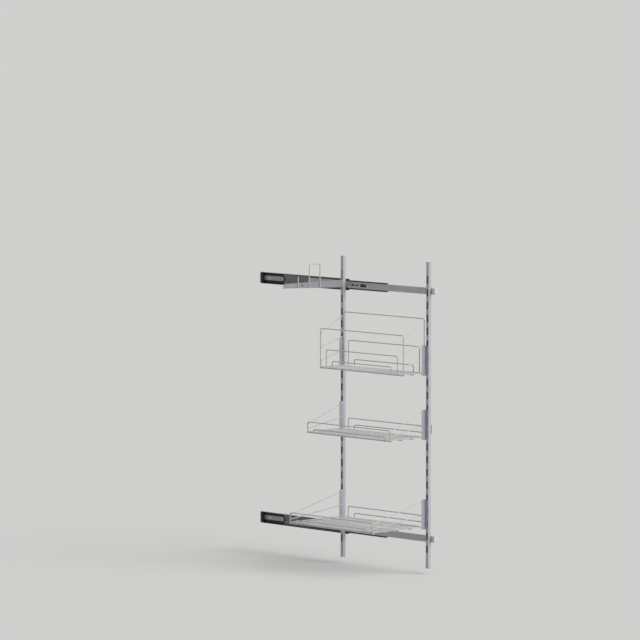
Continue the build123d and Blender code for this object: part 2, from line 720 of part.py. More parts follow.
def main():
    """Write every node of the rack."""
    os.makedirs(PART_DIR, exist_ok=True)
    save_slide("lower", 0)
    save_slide("upper", SLIDE_SPACING)
    save("rear_post", post(REAR_POST_Y))
    save("front_post", post(FRONT_POST_Y))
    post_top = POST_BOTTOM + POST_LENGTH
    save("bottom_post_caps", post_caps(POST_BOTTOM, POST_BOTTOM + CAP_PLATE, 1))
    save("top_post_caps", post_caps(post_top - CAP_PLATE, post_top, -1))
    save("front_post_bumper", post_bumper())
    for basket in BASKETS:
        save_basket(basket)
    save("hanging_arm", hanging_arm())
    save("hanging_arm_loop", arm_loop())
    save("hanging_arm_peg", arm_peg())


main()
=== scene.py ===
"""Looks of a pull-out cabinet rack: two ball-bearing slides, two slotted posts, three wire baskets, one arm.

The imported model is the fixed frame. New pieces are modelled in millimetres along its axes and end in metres.
The wall rails' backs are in the plane x = 0 and the rack lies towards -X. +Y is the way in and +Z is up.
"""

import logging
import math
from collections.abc import Callable, Iterator
from contextlib import contextmanager
from dataclasses import dataclass, field, replace
from enum import Enum

import bmesh
import bpy
from mathutils import Matrix, Vector


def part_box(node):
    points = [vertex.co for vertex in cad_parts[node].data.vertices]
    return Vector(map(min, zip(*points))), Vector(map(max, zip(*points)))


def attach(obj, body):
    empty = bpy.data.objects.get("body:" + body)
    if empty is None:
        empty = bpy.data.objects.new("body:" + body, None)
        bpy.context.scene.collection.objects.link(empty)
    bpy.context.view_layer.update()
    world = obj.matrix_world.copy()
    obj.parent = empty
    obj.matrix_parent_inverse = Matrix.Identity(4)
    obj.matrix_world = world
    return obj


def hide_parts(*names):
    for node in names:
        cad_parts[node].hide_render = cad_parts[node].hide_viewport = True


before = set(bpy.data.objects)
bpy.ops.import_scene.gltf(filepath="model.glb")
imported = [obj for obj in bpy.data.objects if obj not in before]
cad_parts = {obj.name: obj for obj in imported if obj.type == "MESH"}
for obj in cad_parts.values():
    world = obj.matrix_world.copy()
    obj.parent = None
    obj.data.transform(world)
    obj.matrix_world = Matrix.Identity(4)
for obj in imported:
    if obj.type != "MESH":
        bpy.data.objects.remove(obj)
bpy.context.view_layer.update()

MM = 0.001
LOG = logging.getLogger("rack")

X, Y, Z = Vector((1, 0, 0)), Vector((0, 1, 0)), Vector((0, 0, 1))

# Millimetres within which two places are one, and the cosine from which two directions are one.
NEAR = 0.01
ALIGNED = 0.9

# Edges sharper than this many degrees stay sharp, on folded and moulded pieces and on wires.
SHEET_ANGLE = 35.0
WIRE_ANGLE = 40.0

# How many faces go round pins, small shanks and large holes.
PIN_SIDES = 24
SHANK_SIDES = 20
HOLE_SIDES = 28

Point = Vector | tuple[float, float, float]
Colour = tuple[float, float, float]
Loop = tuple[float | None, float | None, float]


class Domain(Enum):
    """What is selected in edit mode."""

    VERT = "VERT"
    EDGE = "EDGE"
    FACE = "FACE"


class Side(Enum):
    """The two ends of a basket, by the direction along Y."""

    REAR = 1
    FRONT = -1

    @property
    def word(self) -> str:
        """The side's word in the names of nodes."""
        return self.name.lower()


class Slide(Enum):
    """The two slides, by the word in the names of their nodes."""

    LOWER = "lower"
    UPPER = "upper"


@dataclass(frozen=True)
class Round:
    """A rounding: its width in millimetres, and how many faces it has across."""

    width: float
    steps: int


@dataclass(frozen=True)
class Box:
    """The lowest and highest corners of a space, in millimetres."""

    low: Vector
    high: Vector

    @classmethod
    def of(cls, node: str) -> "Box":
        """The box of one node of the frame.

        Args:
            node: The node's name.

        Returns:
            Its box at rest.
        """
        low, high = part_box(node)
        return cls(low / MM, high / MM)

    @property
    def middle(self) -> Vector:
        """The box's middle point."""
        return (self.low + self.high) / 2

    @property
    def size(self) -> Vector:
        """The box's three lengths."""
        return self.high - self.low


def near(one: float, other: float) -> bool:
    """Whether two places along an axis are one."""
    return abs(one - other) < NEAR


def activate(first: bpy.types.Object, *others: bpy.types.Object) -> None:
    """Select these objects alone, with the first as the active one.

    Args:
        first: The object that becomes active.
        others: More objects to select.
    """
    bpy.ops.object.select_all(action="DESELECT")
    for item in (first, *others):
        item.select_set(True)
    bpy.context.view_layer.objects.active = first


@contextmanager
def editing(piece: bpy.types.Object) -> Iterator[None]:
    """Hold one object in edit mode.

    Args:
        piece: The mesh object.
    """
    activate(piece)
    bpy.ops.object.mode_set(mode="EDIT")
    bpy.ops.mesh.select_mode(type=Domain.VERT.value)
    yield
    bpy.ops.object.mode_set(mode="OBJECT")


def pick(piece: bpy.types.Object, domain: Domain, test: Callable[[Vector, Vector], bool]) -> None:
    """Select what passes a test in the mesh that is in edit mode, and nothing else.

    Args:
        piece: The mesh object, in edit mode.
        domain: Whether vertices, edges or faces are tested.
        test: Takes the middle of each and its direction: a normal, or for an edge its run.
    """
    bpy.ops.mesh.select_all(action="DESELECT")
    bpy.ops.mesh.select_mode(type=domain.value)
    mesh = bmesh.from_edit_mesh(piece.data)
    if domain is Domain.VERT:
        items = [(vert, vert.co.copy(), vert.normal) for vert in mesh.verts]
    elif domain is Domain.EDGE:
        ends = [(edge, edge.verts[0].co, edge.verts[1].co) for edge in mesh.edges]
        items = [(edge, (a + b) / 2, (b - a).normalized()) for edge, a, b in ends]
    else:
        items = [(face, face.calc_center_median(), face.normal) for face in mesh.faces]
    for item, middle, direction in items:
        if test(middle, direction):
            item.select_set(True)
    mesh.select_flush_mode()
    bmesh.update_edit_mesh(piece.data)


def pick_along(piece: bpy.types.Object, axis: Vector) -> None:
    """Select the edges that run along an axis, in edit mode."""
    pick(piece, Domain.EDGE, lambda place, run: abs(run.dot(axis)) > ALIGNED)


def pick_at(piece: bpy.types.Object, axis: Vector, value: float) -> None:
    """Select the edges whose middles are at one place along an axis, in edit mode."""
    pick(piece, Domain.EDGE, lambda place, run: near(place.dot(axis), value))


def push(offset: Vector) -> None:
    """Extrude what is selected in edit mode by an offset."""
    bpy.ops.mesh.extrude_region_move(TRANSFORM_OT_translate={"value": offset})


def round_off(rounding: Round, domain: Domain = Domain.EDGE) -> None:
    """Bevel the edges or vertices that are selected in edit mode.

    Args:
        rounding: The bevel's width and steps.
        domain: Whether edges or vertices are rounded.
    """
    affect = "VERTICES" if domain is Domain.VERT else "EDGES"
    bpy.ops.mesh.bevel(offset=rounding.width, segments=rounding.steps, affect=affect, clamp_overlap=True)


def round_at(piece: bpy.types.Object, axis: Vector, value: float, rounding: Round) -> None:
    """Round the edges whose middles are at one place along an axis.

    Args:
        piece: The mesh object.
        axis: The axis.
        value: The place along it.
        rounding: The rounding.
    """
    with editing(piece):
        pick_at(piece, axis, value)
        round_off(rounding)


def inset(piece: bpy.types.Object, way: Vector, border: float, depth: float = 0.0) -> None:
    """Inset the faces that look one way, in edit mode.

    Args:
        piece: The mesh object, in edit mode.
        way: The direction that they look in.
        border: How far their edges move in.
        depth: How far they move out, or in where it is negative.
    """
    pick(piece, Domain.FACE, lambda place, normal: normal.dot(way) > ALIGNED)
    bpy.ops.mesh.inset(thickness=border, depth=depth)


def settle(piece: bpy.types.Object) -> None:
    """Put an object's place, turn and scale into its mesh."""
    activate(piece)
    bpy.ops.object.transform_apply(location=True, rotation=True, scale=True)


def block(low: Point, high: Point) -> bpy.types.Object:
    """A cube primitive that fills the space between two corners, ready to be shaped.

    Args:
        low: One corner.
        high: The opposite corner.

    Returns:
        The new object.
    """
    low, high = Vector(low), Vector(high)
    bpy.ops.mesh.primitive_cube_add(size=1, location=(low + high) / 2)
    piece = bpy.context.object
    piece.scale = [abs(v) for v in high - low]
    settle(piece)
    return piece


def rounded_block(low: Point, high: Point, axis: Vector, rounding: Round) -> bpy.types.Object:
    """A block with its edges along one axis rounded.

    Args:
        low: One corner.
        high: The opposite corner.
        axis: The direction of the edges.
        rounding: Their rounding.

    Returns:
        The new object.
    """
    piece = block(low, high)
    with editing(piece):
        pick_along(piece, axis)
        round_off(rounding)
    return piece


def plate(corners: list[Point]) -> bpy.types.Object:
    """A flat face through four corners, ready to be folded.

    Args:
        corners: The corners in their order round the face.

    Returns:
        The new object.
    """
    bpy.ops.mesh.primitive_plane_add(size=1)
    piece = bpy.context.object
    in_rows = corners[0], corners[1], corners[3], corners[2]
    for vert, place in zip(piece.data.vertices, in_rows):
        vert.co = place
    return piece


def turned_to(direction: Vector) -> tuple[float, float, float]:
    """The Euler turn that points an object's Z axis along a direction."""
    return tuple(direction.to_track_quat("Z", "Y").to_euler())


def cylinder(start: Point, end: Point, radius: float, sides: int = PIN_SIDES) -> bpy.types.Object:
    """A closed cylinder primitive from one point to another, ready to be shaped.

    Args:
        start: The middle of one end.
        end: The middle of the other end.
        radius: Its radius.
        sides: How many faces go round it.

    Returns:
        The new object.
    """
    start, end = Vector(start), Vector(end)
    run = end - start
    bpy.ops.mesh.primitive_cylinder_add(
        vertices=sides, radius=radius, depth=run.length, location=(start + end) / 2, rotation=turned_to(run)
    )
    piece = bpy.context.object
    settle(piece)
    return piece


def modify(piece: bpy.types.Object, kind: str, **settings: object) -> None:
    """Add one modifier with its settings and apply it.

    Args:
        piece: The object.
        kind: The modifier's type.
        settings: The modifier's values, by name.
    """
    modifier = piece.modifiers.new(kind.title(), kind)
    for name, value in settings.items():
        setattr(modifier, name, value)
    activate(piece)
    bpy.ops.object.modifier_apply(modifier=modifier.name)


def ease(piece: bpy.types.Object, width: float, angle: float = 60.0) -> None:
    """Break a piece's sharp edges.

    Args:
        piece: The object.
        width: The width of the broken edge.
        angle: Edges sharper than this many degrees are broken.
    """
    modify(piece, "BEVEL", width=width, segments=2, limit_method="ANGLE", angle_limit=math.radians(angle))


def thicken(sheet: bpy.types.Object, thickness: float) -> None:
    """Give a folded face its thickness, half to each side, and close its seams.

    Args:
        sheet: The folded face.
        thickness: Its thickness.
    """
    modify(sheet, "SOLIDIFY", thickness=thickness, offset=0, use_even_offset=True)
    tidy(sheet)


def cut(piece: bpy.types.Object, tools: list[bpy.types.Object]) -> None:
    """Cut tools out of a piece, and delete them.

    Args:
        piece: The object that is cut.
        tools: Closed meshes that don't touch each other.
    """
    tool = join(tools)
    modify(piece, "BOOLEAN", operation="DIFFERENCE", solver="EXACT", object=tool)
    bpy.data.objects.remove(tool)


def join(pieces: list[bpy.types.Object]) -> bpy.types.Object:
    """Make several objects one.

    Args:
        pieces: The objects.

    Returns:
        The first of them, with the meshes of all.
    """
    if len(pieces) > 1:
        activate(*pieces)
        bpy.ops.object.join()
    return pieces[0]


def copy_by(piece: bpy.types.Object, offset: Vector) -> bpy.types.Object:
    """A copy with its own mesh, moved by an offset.

    Args:
        piece: The object that is copied.
        offset: How far the copy is from it.

    Returns:
        The copy.
    """
    twin = piece.copy()
    twin.data = piece.data.copy()
    twin.data.transform(Matrix.Translation(offset))
    bpy.context.scene.collection.objects.link(twin)
    return twin


def repeat(pattern: bpy.types.Object, offsets: list[Vector]) -> list[bpy.types.Object]:
    """Copies of a pattern at several offsets, in place of the pattern itself.

    Args:
        pattern: The object that is copied and then deleted.
        offsets: How far each copy is from it.

    Returns:
        The copies.
    """
    twins = [copy_by(pattern, offset) for offset in offsets]
    bpy.data.objects.remove(pattern)
    return twins


def tidy(piece: bpy.types.Object) -> None:
    """Merge doubles and turn every face outwards.

    Args:
        piece: The mesh object.
    """
    with editing(piece):
        bpy.ops.mesh.select_all(action="SELECT")
        bpy.ops.mesh.remove_doubles(threshold=1e-4)
        bpy.ops.mesh.normals_make_consistent(inside=False)


class WireBender:
    """Bends round wire: straight runs are extruded from a ring, and corners are spun.

    The caps on its ends are rounded by shares of its radius.
    """

    cap_border: float = 0.3
    cap_rise: float = 0.2

    def __init__(self, start: Vector, heading: Vector, radius: float, sides: int) -> None:
        """Hold the first ring.

        Args:
            start: Where the wire starts.
            heading: The direction that it leaves in.
            radius: The wire's radius.
            sides: How many faces go round it.
        """
        self.place = start.copy()
        self.heading = heading.normalized()
        self.sides = sides
        self.radius = radius
        bpy.ops.mesh.primitive_circle_add(
            vertices=sides, radius=radius, location=start, rotation=turned_to(self.heading)
        )
        self.piece = bpy.context.object
        settle(self.piece)
        bpy.ops.object.mode_set(mode="EDIT")
        bpy.ops.mesh.select_all(action="SELECT")

    def run(self, length: float) -> None:
        """Go straight on by a length."""
        push(self.heading * length)
        self.place += self.heading * length

    def turn(self, towards: Vector, bend: float, steps: int) -> None:
        """Bend towards a direction.

        Args:
            towards: The new heading.
            bend: The radius of the wire's middle line in the bend.
            steps: How many rings the bend adds.
        """
        towards = towards.normalized()
        angle = self.heading.angle(towards)
        across = (towards - self.heading * towards.dot(self.heading)).normalized()
        centre = self.place + across * bend
        axis = towards.cross(self.heading).normalized()
        bpy.ops.mesh.spin(steps=steps, angle=angle, center=centre, axis=axis)
        self.place = centre + Matrix.Rotation(-angle, 3, axis) @ (self.place - centre)
        self.heading = towards

    def finish(self) -> bpy.types.Object:
        """Close both ends with slightly rounded caps.

        Returns:
            The wire.
        """
        bpy.ops.mesh.select_all(action="SELECT")
        bpy.ops.mesh.fill_holes(sides=0)
        bpy.ops.mesh.normals_make_consistent(inside=False)
        bpy.ops.mesh.select_all(action="DESELECT")
        bpy.ops.mesh.select_face_by_sides(number=self.sides, type="EQUAL")
        bpy.ops.mesh.inset(thickness=self.radius * self.cap_border, depth=self.radius * self.cap_rise)
        bpy.ops.object.mode_set(mode="OBJECT")
        return self.piece


def bent_wire(
    points: list[Vector], radius: float, sides: int = 12, bend: float = 1.0, steps: int = 6
) -> bpy.types.Object:
    """A round wire along straight runs, joined by bends of one radius.

    Args:
        points: The points that the runs would meet in.
        radius: The wire's radius.
        sides: How many faces go round it.
        bend: The radius of each bend.
        steps: How many rings each bend adds.

    Returns:
        The wire.
    """
    headings = [(b - a).normalized() for a, b in zip(points, points[1:])]
    bender = WireBender(points[0], headings[0], radius, sides)
    for place, heading, following in zip(points[1:], headings, headings[1:]):
        trim = bend * math.tan(heading.angle(following) / 2)
        bender.run((place - bender.place).length - trim)
        bender.turn(following, bend, steps)
    bender.run((points[-1] - bender.place).length)
    return bender.finish()


def weld_bead(place: Point, radius: float, flatness: float = 0.6) -> bpy.types.Object:
    """A small flattened blob where two wires are welded.

    Args:
        place: The weld's middle.
        radius: Its radius along the wires.
        flatness: Its height as a share of its width.

    Returns:
        The bead.
    """
    bpy.ops.mesh.primitive_uv_sphere_add(segments=8, ring_count=5, radius=radius, location=place)
    bead = bpy.context.object
    bead.scale = (1.0, 1.0, flatness)
    settle(bead)
    return bead


class Nodes:
    """Adds and joins shader nodes in one tree."""

    # The sockets of a Mix node that blends colours.
    first_colour: int = 6
    second_colour: int = 7
    blended_colour: int = 2

    def __init__(self, tree: bpy.types.NodeTree) -> None:
        """Hold the tree."""
        self.tree = tree

    def add(self, kind: str, **values: object) -> bpy.types.Node:
        """Add a node.

        Args:
            kind: The node's type, without its ShaderNode prefix.
            values: Its properties by name, or values and links for its inputs, with _ for a space.

        Returns:
            The new node.
        """
        node = self.tree.nodes.new("ShaderNode" + kind)
        for name, value in values.items():
            if hasattr(node, name):
                setattr(node, name, value)
            else:
                self.set(node, name.replace("_", " "), value)
        return node

    def set(self, node: bpy.types.Node, socket: str | int, value: object) -> None:
        """Give a socket a value, or a link where the value is another node's output.

        Args:
            node: The node.
            socket: The name or the number of its input.
            value: The value or the output.
        """
        if isinstance(value, bpy.types.NodeSocket):
            self.tree.links.new(value, node.inputs[socket])
        else:
            node.inputs[socket].default_value = value

    def blend(self, mask: bpy.types.NodeSocket, first: object, second: object) -> bpy.types.NodeSocket:
        """The first colour where a mask is 0 and the second where it is 1.

        Args:
            mask: The mask's socket.
            first: Three numbers, or another node's output.
            second: The same for the other colour.

        Returns:
            The blended colour.
        """
        node = self.add("Mix", data_type="RGBA", Factor=mask)
        for socket, colour in ((self.first_colour, first), (self.second_colour, second)):
            self.set(node, socket, colour if isinstance(colour, bpy.types.NodeSocket) else (*colour, 1.0))
        return node.outputs[self.blended_colour]

    def combine(self, kind: str, operation: str, first: object, second: object) -> bpy.types.Node:
        """A node that works out one thing from two.

        Args:
            kind: Math or VectorMath.
            operation: What it does.
            first: A value, or another node's output.
            second: The same for the other input.

        Returns:
            The node.
        """
        node = self.add(kind, operation=operation)
        self.set(node, 0, first)
        self.set(node, 1, second)
        return node

    def math(self, operation: str, first: object, second: object = 0.0) -> bpy.types.NodeSocket:
        """The output of a Math node."""
        return self.combine("Math", operation, first, second).outputs[0]

    def place(self) -> bpy.types.NodeSocket:
        """The place on the piece, in metres."""
        return self.add("TexCoord").outputs["Object"]

    def spread(self, value: bpy.types.NodeSocket, low: float, high: float) -> bpy.types.NodeSocket:
        """A mask that is 0 where a value is low and 1 where it is high."""
        return self.add("MapRange", Value=value, From_Min=low, From_Max=high).outputs[0]


@dataclass(frozen=True)
class Effect:
    """A node group with numbers in and one mask out, built once and placed in materials.

    Its build function makes the nodes and returns the socket that holds the mask.
    """

    name: str
    inputs: tuple[str, ...]
    build: Callable[[Nodes, bpy.types.NodeOutputs], bpy.types.NodeSocket]

    def group(self) -> bpy.types.NodeTree:
        """The effect's node group.

        Returns:
            The group, made where it isn't there yet.
        """
        if self.name in bpy.data.node_groups:
            return bpy.data.node_groups[self.name]
        group = bpy.data.node_groups.new(self.name, "ShaderNodeTree")
        for label in self.inputs:
            group.interface.new_socket(label, in_out="INPUT", socket_type="NodeSocketFloat")
        group.interface.new_socket("Mask", in_out="OUTPUT", socket_type="NodeSocketFloat")
        entry, leave = group.nodes.new("NodeGroupInput"), group.nodes.new("NodeGroupOutput")
        group.links.new(self.build(Nodes(group), entry.outputs), leave.inputs["Mask"])
        return group

    def mask(self, nodes: Nodes, *values: float) -> bpy.types.NodeSocket:
        """The mask of this effect in a material.

        Args:
            nodes: The material's nodes.
            values: A value for each of the effect's inputs.

        Returns:
            The mask's socket.
        """
        placed = nodes.add("Group", node_tree=self.group())
        for label, value in zip(self.inputs, values, strict=True):
            nodes.set(placed, label, value)
        return placed.outputs[0]


def blotch_nodes(nodes: Nodes, given: bpy.types.NodeOutputs) -> bpy.types.NodeSocket:
    """Soft blotches, as on plated or coated steel.

    Args:
        nodes: The group's nodes.
        given: The values that the group is given.

    Returns:
        The mask.
    """
    noise = nodes.add("TexNoise", Vector=nodes.place(), Scale=given["Scale"], Detail=3.0, Roughness=0.6)
    return nodes.spread(noise.outputs["Fac"], low=0.35, high=0.65)


def streak_nodes(nodes: Nodes, given: bpy.types.NodeOutputs) -> bpy.types.NodeSocket:
    """Fine lines along one axis, left by rolling or drawing the steel.

    Args:
        nodes: The group's nodes.
        given: The values that the group is given.

    Returns:
        The mask.
    """
    scale = nodes.add("CombineXYZ", X=given["Across X"], Y=given["Across Y"], Z=given["Across Z"])
    scaled = nodes.combine("VectorMath", "MULTIPLY", nodes.place(), scale.outputs[0])
    noise = nodes.add("TexNoise", Vector=scaled.outputs[0], Scale=1.0, Detail=2.0, Roughness=0.5)
    return nodes.spread(noise.outputs["Fac"], low=0.3, high=0.7)


def grain_nodes(nodes: Nodes, given: bpy.types.NodeOutputs) -> bpy.types.NodeSocket:
    """Fine even grain, as on powder coating and moulded plastic.

    Args:
        nodes: The group's nodes.
        given: The values that the group is given.

    Returns:
        The mask.
    """
    noise = nodes.add("TexNoise", Vector=nodes.place(), Scale=given["Scale"], Detail=1.0, Roughness=0.5)
    return noise.outputs["Fac"]


def edge_nodes(nodes: Nodes, given: bpy.types.NodeOutputs) -> bpy.types.NodeSocket:
    """A mask that is 1 along rounded edges and 0 on flat faces, where a highlight is painted.

    Args:
        nodes: The group's nodes.
        given: The values that the group is given.

    Returns:
        The mask.
    """
    soft = nodes.add("Bevel", samples=4, Radius=given["Radius"]).outputs[0]
    true = nodes.add("NewGeometry").outputs["True Normal"]
    alike = nodes.combine("VectorMath", "DOT_PRODUCT", soft, true).outputs["Value"]
    return nodes.spread(alike, low=0.995, high=0.9)


def zone_nodes(nodes: Nodes, given: bpy.types.NodeOutputs) -> bpy.types.NodeSocket:
    """A mask of painted shade: 1 round a clear strip along Y with a round end, and 0 in it and on the
    outsides.

    Args:
        nodes: The group's nodes.
        given: The values that the group is given.

    Returns:
        The mask.
    """
    place = nodes.add("SeparateXYZ", Vector=nodes.place()).outputs
    along = nodes.math("SUBTRACT", given["End Y"], place["Y"])
    along = nodes.math("MULTIPLY", nodes.math("MAXIMUM", along, 0.0), given["Side"])
    across = nodes.math("SUBTRACT", place["Z"], given["Middle Z"])
    squares = [nodes.math("MULTIPLY", length, length) for length in (along, across)]
    distance = nodes.math("SQRT", nodes.math("ADD", *squares))
    zone = nodes.add("MapRange", Value=distance, interpolation_type="SMOOTHSTEP")
    nodes.set(zone, "From Min", given["Clear At"])
    nodes.set(zone, "From Max", given["Full At"])
    inside = nodes.math("LESS_THAN", nodes.math("ABSOLUTE", across), given["Flange At"])
    before = nodes.math("LESS_THAN", place["X"], given["Back X"])
    return nodes.math("MULTIPLY", zone.outputs[0], nodes.math("MULTIPLY", inside, before))


BLOTCHES = Effect("soft blotches", ("Scale",), blotch_nodes)
STREAKS = Effect("drawn lines", ("Across X", "Across Y", "Across Z"), streak_nodes)
GRAIN = Effect("fine grain", ("Scale",), grain_nodes)
# Lighter along rounded edges: a painted highlight.
EDGES = Effect("edge wear", ("Radius",), edge_nodes)
# The mask of painted shade inside the slides' channels.
SHADE_ZONE = Effect(
    "greased zone", ("Middle Z", "Clear At", "Full At", "Flange At", "Back X", "End Y", "Side"), zone_nodes
)


@dataclass(frozen=True)
class Grease:
    """Where painted shade darkens the inside of a slide's channel, in millimetres.

    A strip along the middle stays clear, clear_at to each side and up to a round end about end_y
    where that is given. The outsides of the flanges, past flange_at, and the back of the web, past
    back_x, stay clear too.
    """

    middle_z: float
    clear_at: float
    full_at: float
    flange_at: float
    back_x: float
    end_y: float | None = None
    # The near-black colour of the painted shade.
    colour: Colour = (0.024, 0.024, 0.025)

    def mask(self, nodes: Nodes) -> bpy.types.NodeSocket:
        """The mask of the places where shade is painted.

        Args:
            nodes: The material's nodes.

        Returns:
            The mask's socket.
        """
        lengths = (
            self.middle_z, self.clear_at, self.full_at, self.flange_at, self.back_x, self.end_y or 0.0
        )
        return SHADE_ZONE.mask(nodes, *(length * MM for length in lengths), float(self.end_y is not None))


@dataclass(frozen=True)
class Finish:
    """One finish of a surface, with blotches, drawn lines or grain, and a painted highlight along its edges.

    Its slot names the material that the record states for it; nothing here reads it.
    """

    name: str
    slot: str
    colour: Colour
    second: Colour
    # The lighter colour along rounded edges, a painted highlight.
    edge: Colour
    metallic: float
    smooth: float
    rough: float
    bump: float
    blotch: float
    lines: tuple[float, float, float] | None = None
    # Painted shade inside a slide's channel, where it is given.
    grease: Grease | None = None
    grain: float = 1800.0
    edge_radius: float = 0.0006
    edge_share: float = 0.6
    texture_share: float = 0.6
    bump_depth: float = 0.0001
    glossiness: float = 0.5

    def material(self) -> bpy.types.Material:
        """The finish's material, made once.

        Returns:
            The material.
        """
        name = f"{self.name}_finish"
        if name in bpy.data.materials:
            return bpy.data.materials[name]
        material = bpy.data.materials.new(name)
        material.use_nodes = True
        material.node_tree.nodes.clear()
        nodes = Nodes(material.node_tree)
        blotches = BLOTCHES.mask(nodes, self.blotch)
        texture = STREAKS.mask(nodes, *self.lines) if self.lines else GRAIN.mask(nodes, self.grain)
        edges = EDGES.mask(nodes, self.edge_radius)
        colour = nodes.blend(blotches, self.colour, self.second)
        # Painted highlight along the rounded edges.
        colour = nodes.blend(nodes.math("MULTIPLY", edges, self.edge_share), colour, self.edge)
        # Painted shade inside a slide's channel.
        if self.grease:
            colour = nodes.blend(self.grease.mask(nodes), colour, self.grease.colour)
        shares = (texture, self.texture_share), (blotches, 1.0 - self.texture_share)
        mixed = nodes.math("ADD", *(nodes.math("MULTIPLY", mask, share) for mask, share in shares))
        roughness = nodes.add("MapRange", Value=mixed, To_Min=self.smooth, To_Max=self.rough).outputs[0]
        bump = nodes.add("Bump", Height=texture, Strength=self.bump, Distance=self.bump_depth)
        shader = nodes.add(
            "BsdfPrincipled",
            Base_Color=colour,
            Metallic=self.metallic,
            Roughness=roughness,
            Normal=bump.outputs[0],
            Specular_IOR_Level=self.glossiness,
        )
        nodes.add("OutputMaterial", Surface=shader.outputs[0])
        return material

    def dress(self, piece: bpy.types.Object) -> None:
        """Give a piece this finish all over."""
        piece.data.materials.clear()
        piece.data.materials.append(self.material())

    def dress_node(self, node: str) -> None:
        """Give a node of the frame this finish in its own material slots.

        Args:
            node: The node's name.
        """
        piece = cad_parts[node]
        if not piece.material_slots:
            piece.data.materials.append(self.material())
        for slot in piece.material_slots:
            slot.material = self.material()
        LOG.info("%s keeps its solid, as %s", node, self.name)


ROLLED_ALONG_Y = (700.0, 10.0, 700.0)
COATED_ALONG_Z = (500.0, 500.0, 14.0)

SLIDE_ZINC = Finish(
    "slide_zinc", "slide_steel",
    colour=(0.37, 0.375, 0.385), second=(0.43, 0.435, 0.445), edge=(0.55, 0.56, 0.57),
    metallic=0.7, smooth=0.32, rough=0.5, bump=0.08, blotch=35.0, lines=ROLLED_ALONG_Y,
)
# A darker copy of the slide zinc for the wall rails: painted shade.
SHADED_WALL_ZINC = replace(SLIDE_ZINC, name="wall_zinc", colour=(0.28, 0.285, 0.31), second=(0.32, 0.325, 0.35))
CAGE_STEEL = Finish(
    "cage_steel", "cage_steel",
    colour=(0.14, 0.14, 0.145), second=(0.18, 0.18, 0.185), edge=(0.26, 0.26, 0.26),
    metallic=0.6, smooth=0.35, rough=0.5, bump=0.08, blotch=60.0, lines=ROLLED_ALONG_Y,
)
BALL_STEEL = Finish(
    "ball_steel", "ball_steel",
    colour=(0.55, 0.56, 0.57), second=(0.6, 0.6, 0.62), edge=(0.6, 0.6, 0.62),
    metallic=1.0, smooth=0.12, rough=0.2, bump=0.02, blotch=80.0,
)
FASTENER_STEEL = Finish(
    "fastener_steel", "fastener_steel",
    colour=(0.45, 0.46, 0.47), second=(0.56, 0.57, 0.58), edge=(0.7, 0.7, 0.7),
    metallic=0.9, smooth=0.24, rough=0.4, bump=0.1, blotch=300.0,
)
POST_SILVER = Finish(
    "post_silver", "post_steel",
    colour=(0.395, 0.395, 0.42), second=(0.425, 0.425, 0.45), edge=(0.5, 0.5, 0.53),
    metallic=0.08, smooth=0.34, rough=0.46, bump=0.1, blotch=18.0, lines=COATED_ALONG_Z,
)
BRACKET_SILVER = Finish(
    "bracket_silver", "bracket_steel",
    colour=(0.30, 0.30, 0.35), second=(0.33, 0.33, 0.38), edge=(0.46, 0.46, 0.5),
    metallic=0.08, smooth=0.32, rough=0.46, bump=0.14, blotch=60.0,
)
ARM_SILVER = Finish(
    "arm_silver", "arm_steel",
    colour=(0.245, 0.25, 0.265), second=(0.275, 0.28, 0.295), edge=(0.42, 0.42, 0.44),
    metallic=0.12, smooth=0.3, rough=0.44, bump=0.14, blotch=50.0,
)
WIRE_SILVER = Finish(
    "wire_silver", "basket_wire",
    colour=(0.42, 0.42, 0.415), second=(0.48, 0.48, 0.475), edge=(0.52, 0.52, 0.51),
    metallic=0.2, smooth=0.34, rough=0.46, bump=0.1, blotch=120.0,
)
LEVER_PLASTIC = Finish(
    "lever_plastic", "lever_plastic",
    colour=(0.012, 0.012, 0.013), second=(0.02, 0.02, 0.021), edge=(0.05, 0.05, 0.05),
    metallic=0.0, smooth=0.4, rough=0.55, bump=0.25, blotch=90.0,
)
BUFFER_PLASTIC = Finish(
    "buffer_plastic", "buffer_plastic",
    colour=(0.53, 0.53, 0.52), second=(0.57, 0.57, 0.56), edge=(0.6, 0.6, 0.59),
    metallic=0.0, smooth=0.38, rough=0.5, bump=0.2, blotch=90.0,
)
CAP_PLASTIC = Finish(
    "cap_plastic", "cap_plastic",
    colour=(0.33, 0.33, 0.35), second=(0.37, 0.37, 0.39), edge=(0.45, 0.45, 0.46),
    metallic=0.0, smooth=0.38, rough=0.5, bump=0.25, blotch=90.0,
)
STOP_RUBBER = Finish(
    "stop_rubber", "stop_rubber",
    colour=(0.035, 0.035, 0.037), second=(0.05, 0.05, 0.052), edge=(0.09, 0.09, 0.09),
    metallic=0.0, smooth=0.6, rough=0.75, bump=0.4, blotch=120.0,
)


def corners_of(points: list[Vector]) -> tuple[Vector, Vector]:
    """The lowest and highest corners round several points.

    Args:
        points: The points.

    Returns:
        The two corners.
    """
    return tuple(Vector(extreme(values) for values in zip(*points)) for extreme in (min, max))


